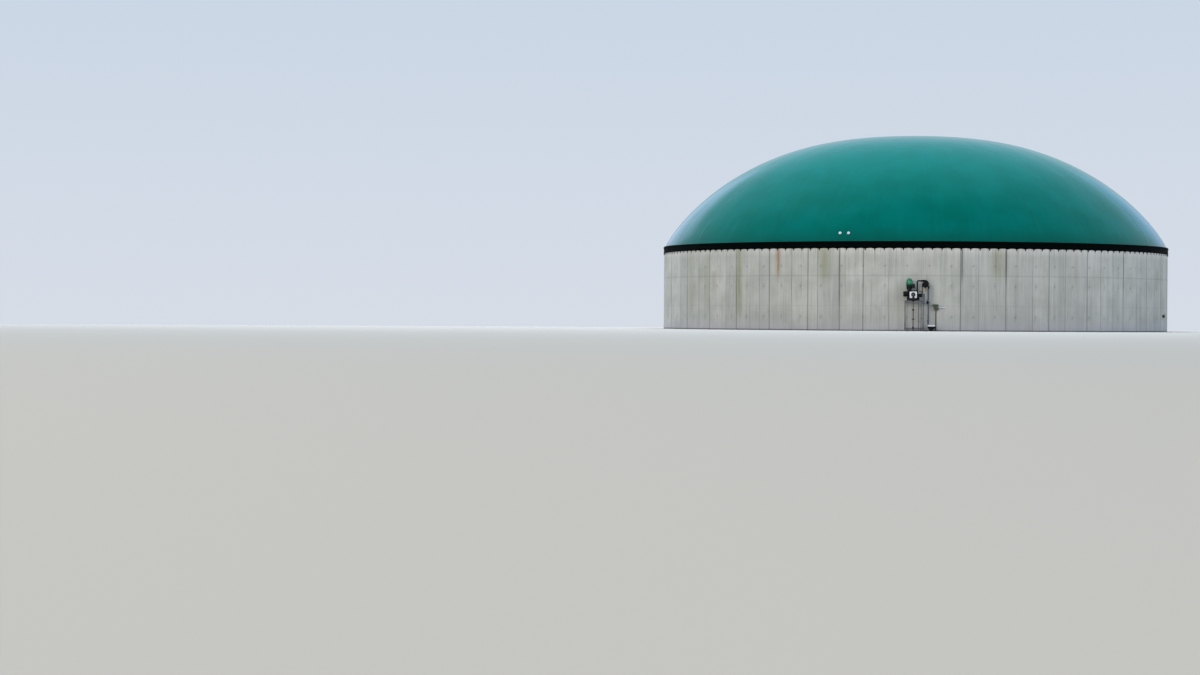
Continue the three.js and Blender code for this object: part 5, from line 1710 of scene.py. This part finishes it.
# Junction boxes
# Two moulded polycarbonate boxes, one above the other, in which the cables of the drive and its instruments
# end. Each has a lid with four quarter-turn screws, and cable glands underneath.
def moulded_polycarbonate():
    """Injection-moulded polycarbonate, olive grey: satin, sun-bleached, with a 2 mm spark-eroded grain."""
    sockets = {"Roughness": 0.48, "IOR": 1.58}
    return coated_metal("olive_grey_polycarbonate", "#333b28", "#4a5239", sockets, 0.002, 0.2)


box_plastic = moulded_polycarbonate()
for level in ("lower", "upper"):
    box_low, box_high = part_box(f"junction_box_{level}")
    junction = [
        box_with_lid(box_low, box_high, 0.035),
        cable_glands(box_low, box_high, 0.06),
    ]
    dress(f"junction_box_{level}", "grey_plastic", f"cable_box_{level}", junction, box_plastic, stainless)

# Conduit arm
# A bent galvanised steel conduit that carries the cables from the lower box to the right and into the wall.
# A lock nut closes its end at the box.
conduit_low, conduit_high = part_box("conduit_arm")
conduit_radius = 0.02
conduit_z = (conduit_low[2] + conduit_high[2]) / 2
conduit_y = conduit_low[1] + conduit_radius
conduit_x = conduit_high[0] - conduit_radius
conduit_joint_x = 1.52
conduit_corners = [(x, conduit_y, conduit_z) for x in (conduit_low[0], conduit_x)]
conduit_corners.append((conduit_x, conduit_high[1], conduit_z))
conduit_joint = [(0.0235, -0.02), (0.0235, 0.02)]
lock_nut = [(0.027, 0.0), (0.027, 0.01), (0.0245, 0.012), (0.0245, 0.022)]
rose = [(0.038, 0.0), (0.038, 0.004), (0.026, 0.008), (0.024, 0.016)]
conduit = [
    pipe(rounded_path(conduit_corners, 0.05), conduit_radius, up, 20),
    lathe(facing((conduit_low[0], conduit_y, conduit_z), right), lock_nut, 6),
    lathe(facing((conduit_joint_x, conduit_y, conduit_z), right), conduit_joint, 20),
    lathe(facing((conduit_x, conduit_high[1], conduit_z), front), rose, 24),
]
zinc_sockets = {"Metallic": 0.15, "Roughness": 0.42}
bright_zinc = coated_metal("passivated_zinc", "#eef1f3", "#d0d5d8", zinc_sockets, 0.004, 0.1)
dress("conduit_arm", "galvanised_steel", "steel_conduit", conduit, bright_zinc)

# Wall nozzle
# A short cast pipe let into the wall low on its right side and shut by a blind flange with eight bolts. It
# is kept for a second pump.
nozzle_angle = 73.75
nozzle_height = 0.9
nozzle_length = 0.11
nozzle_flange = 0.04
nozzle_out = on_circle(1.0, nozzle_angle, 0.0)
wall_facet_half = 1.25
nozzle_face = tank_radius * math.cos(math.radians(wall_facet_half)) + seat
nozzle_place = nozzle_face * nozzle_out + [0, 0, nozzle_height]
stub = [(0.085, -0.001), (0.085, 0.008), (0.07, 0.012), (0.07, 0.066), (0.074, 0.07), (0.103, 0.07)]
stub += [(0.105, 0.072), (0.105, 0.088), (0.1, 0.0895), (0.105, 0.091), (0.105, 0.108)]
stub += lifted([(0.103, 0.0), (0.06, 0.0), (0.056, -0.003)], nozzle_length)
nozzle_front = facing(nozzle_place + nozzle_length * nozzle_out, nozzle_out)
nozzle_back = facing(nozzle_place + (nozzle_length - nozzle_flange) * nozzle_out, -nozzle_out)
nozzle = [
    lathe(facing(nozzle_place, nozzle_out), stub, 40),
    bolts(0.009, nozzle_front, circle(0.085, 8, 22.5), 1),
    bolts(0.009, nozzle_back, circle(0.085, 8, 22.5), 1),
]
dress("wall_nozzle", "black_casting", "blind_nozzle", nozzle, iron, stainless)
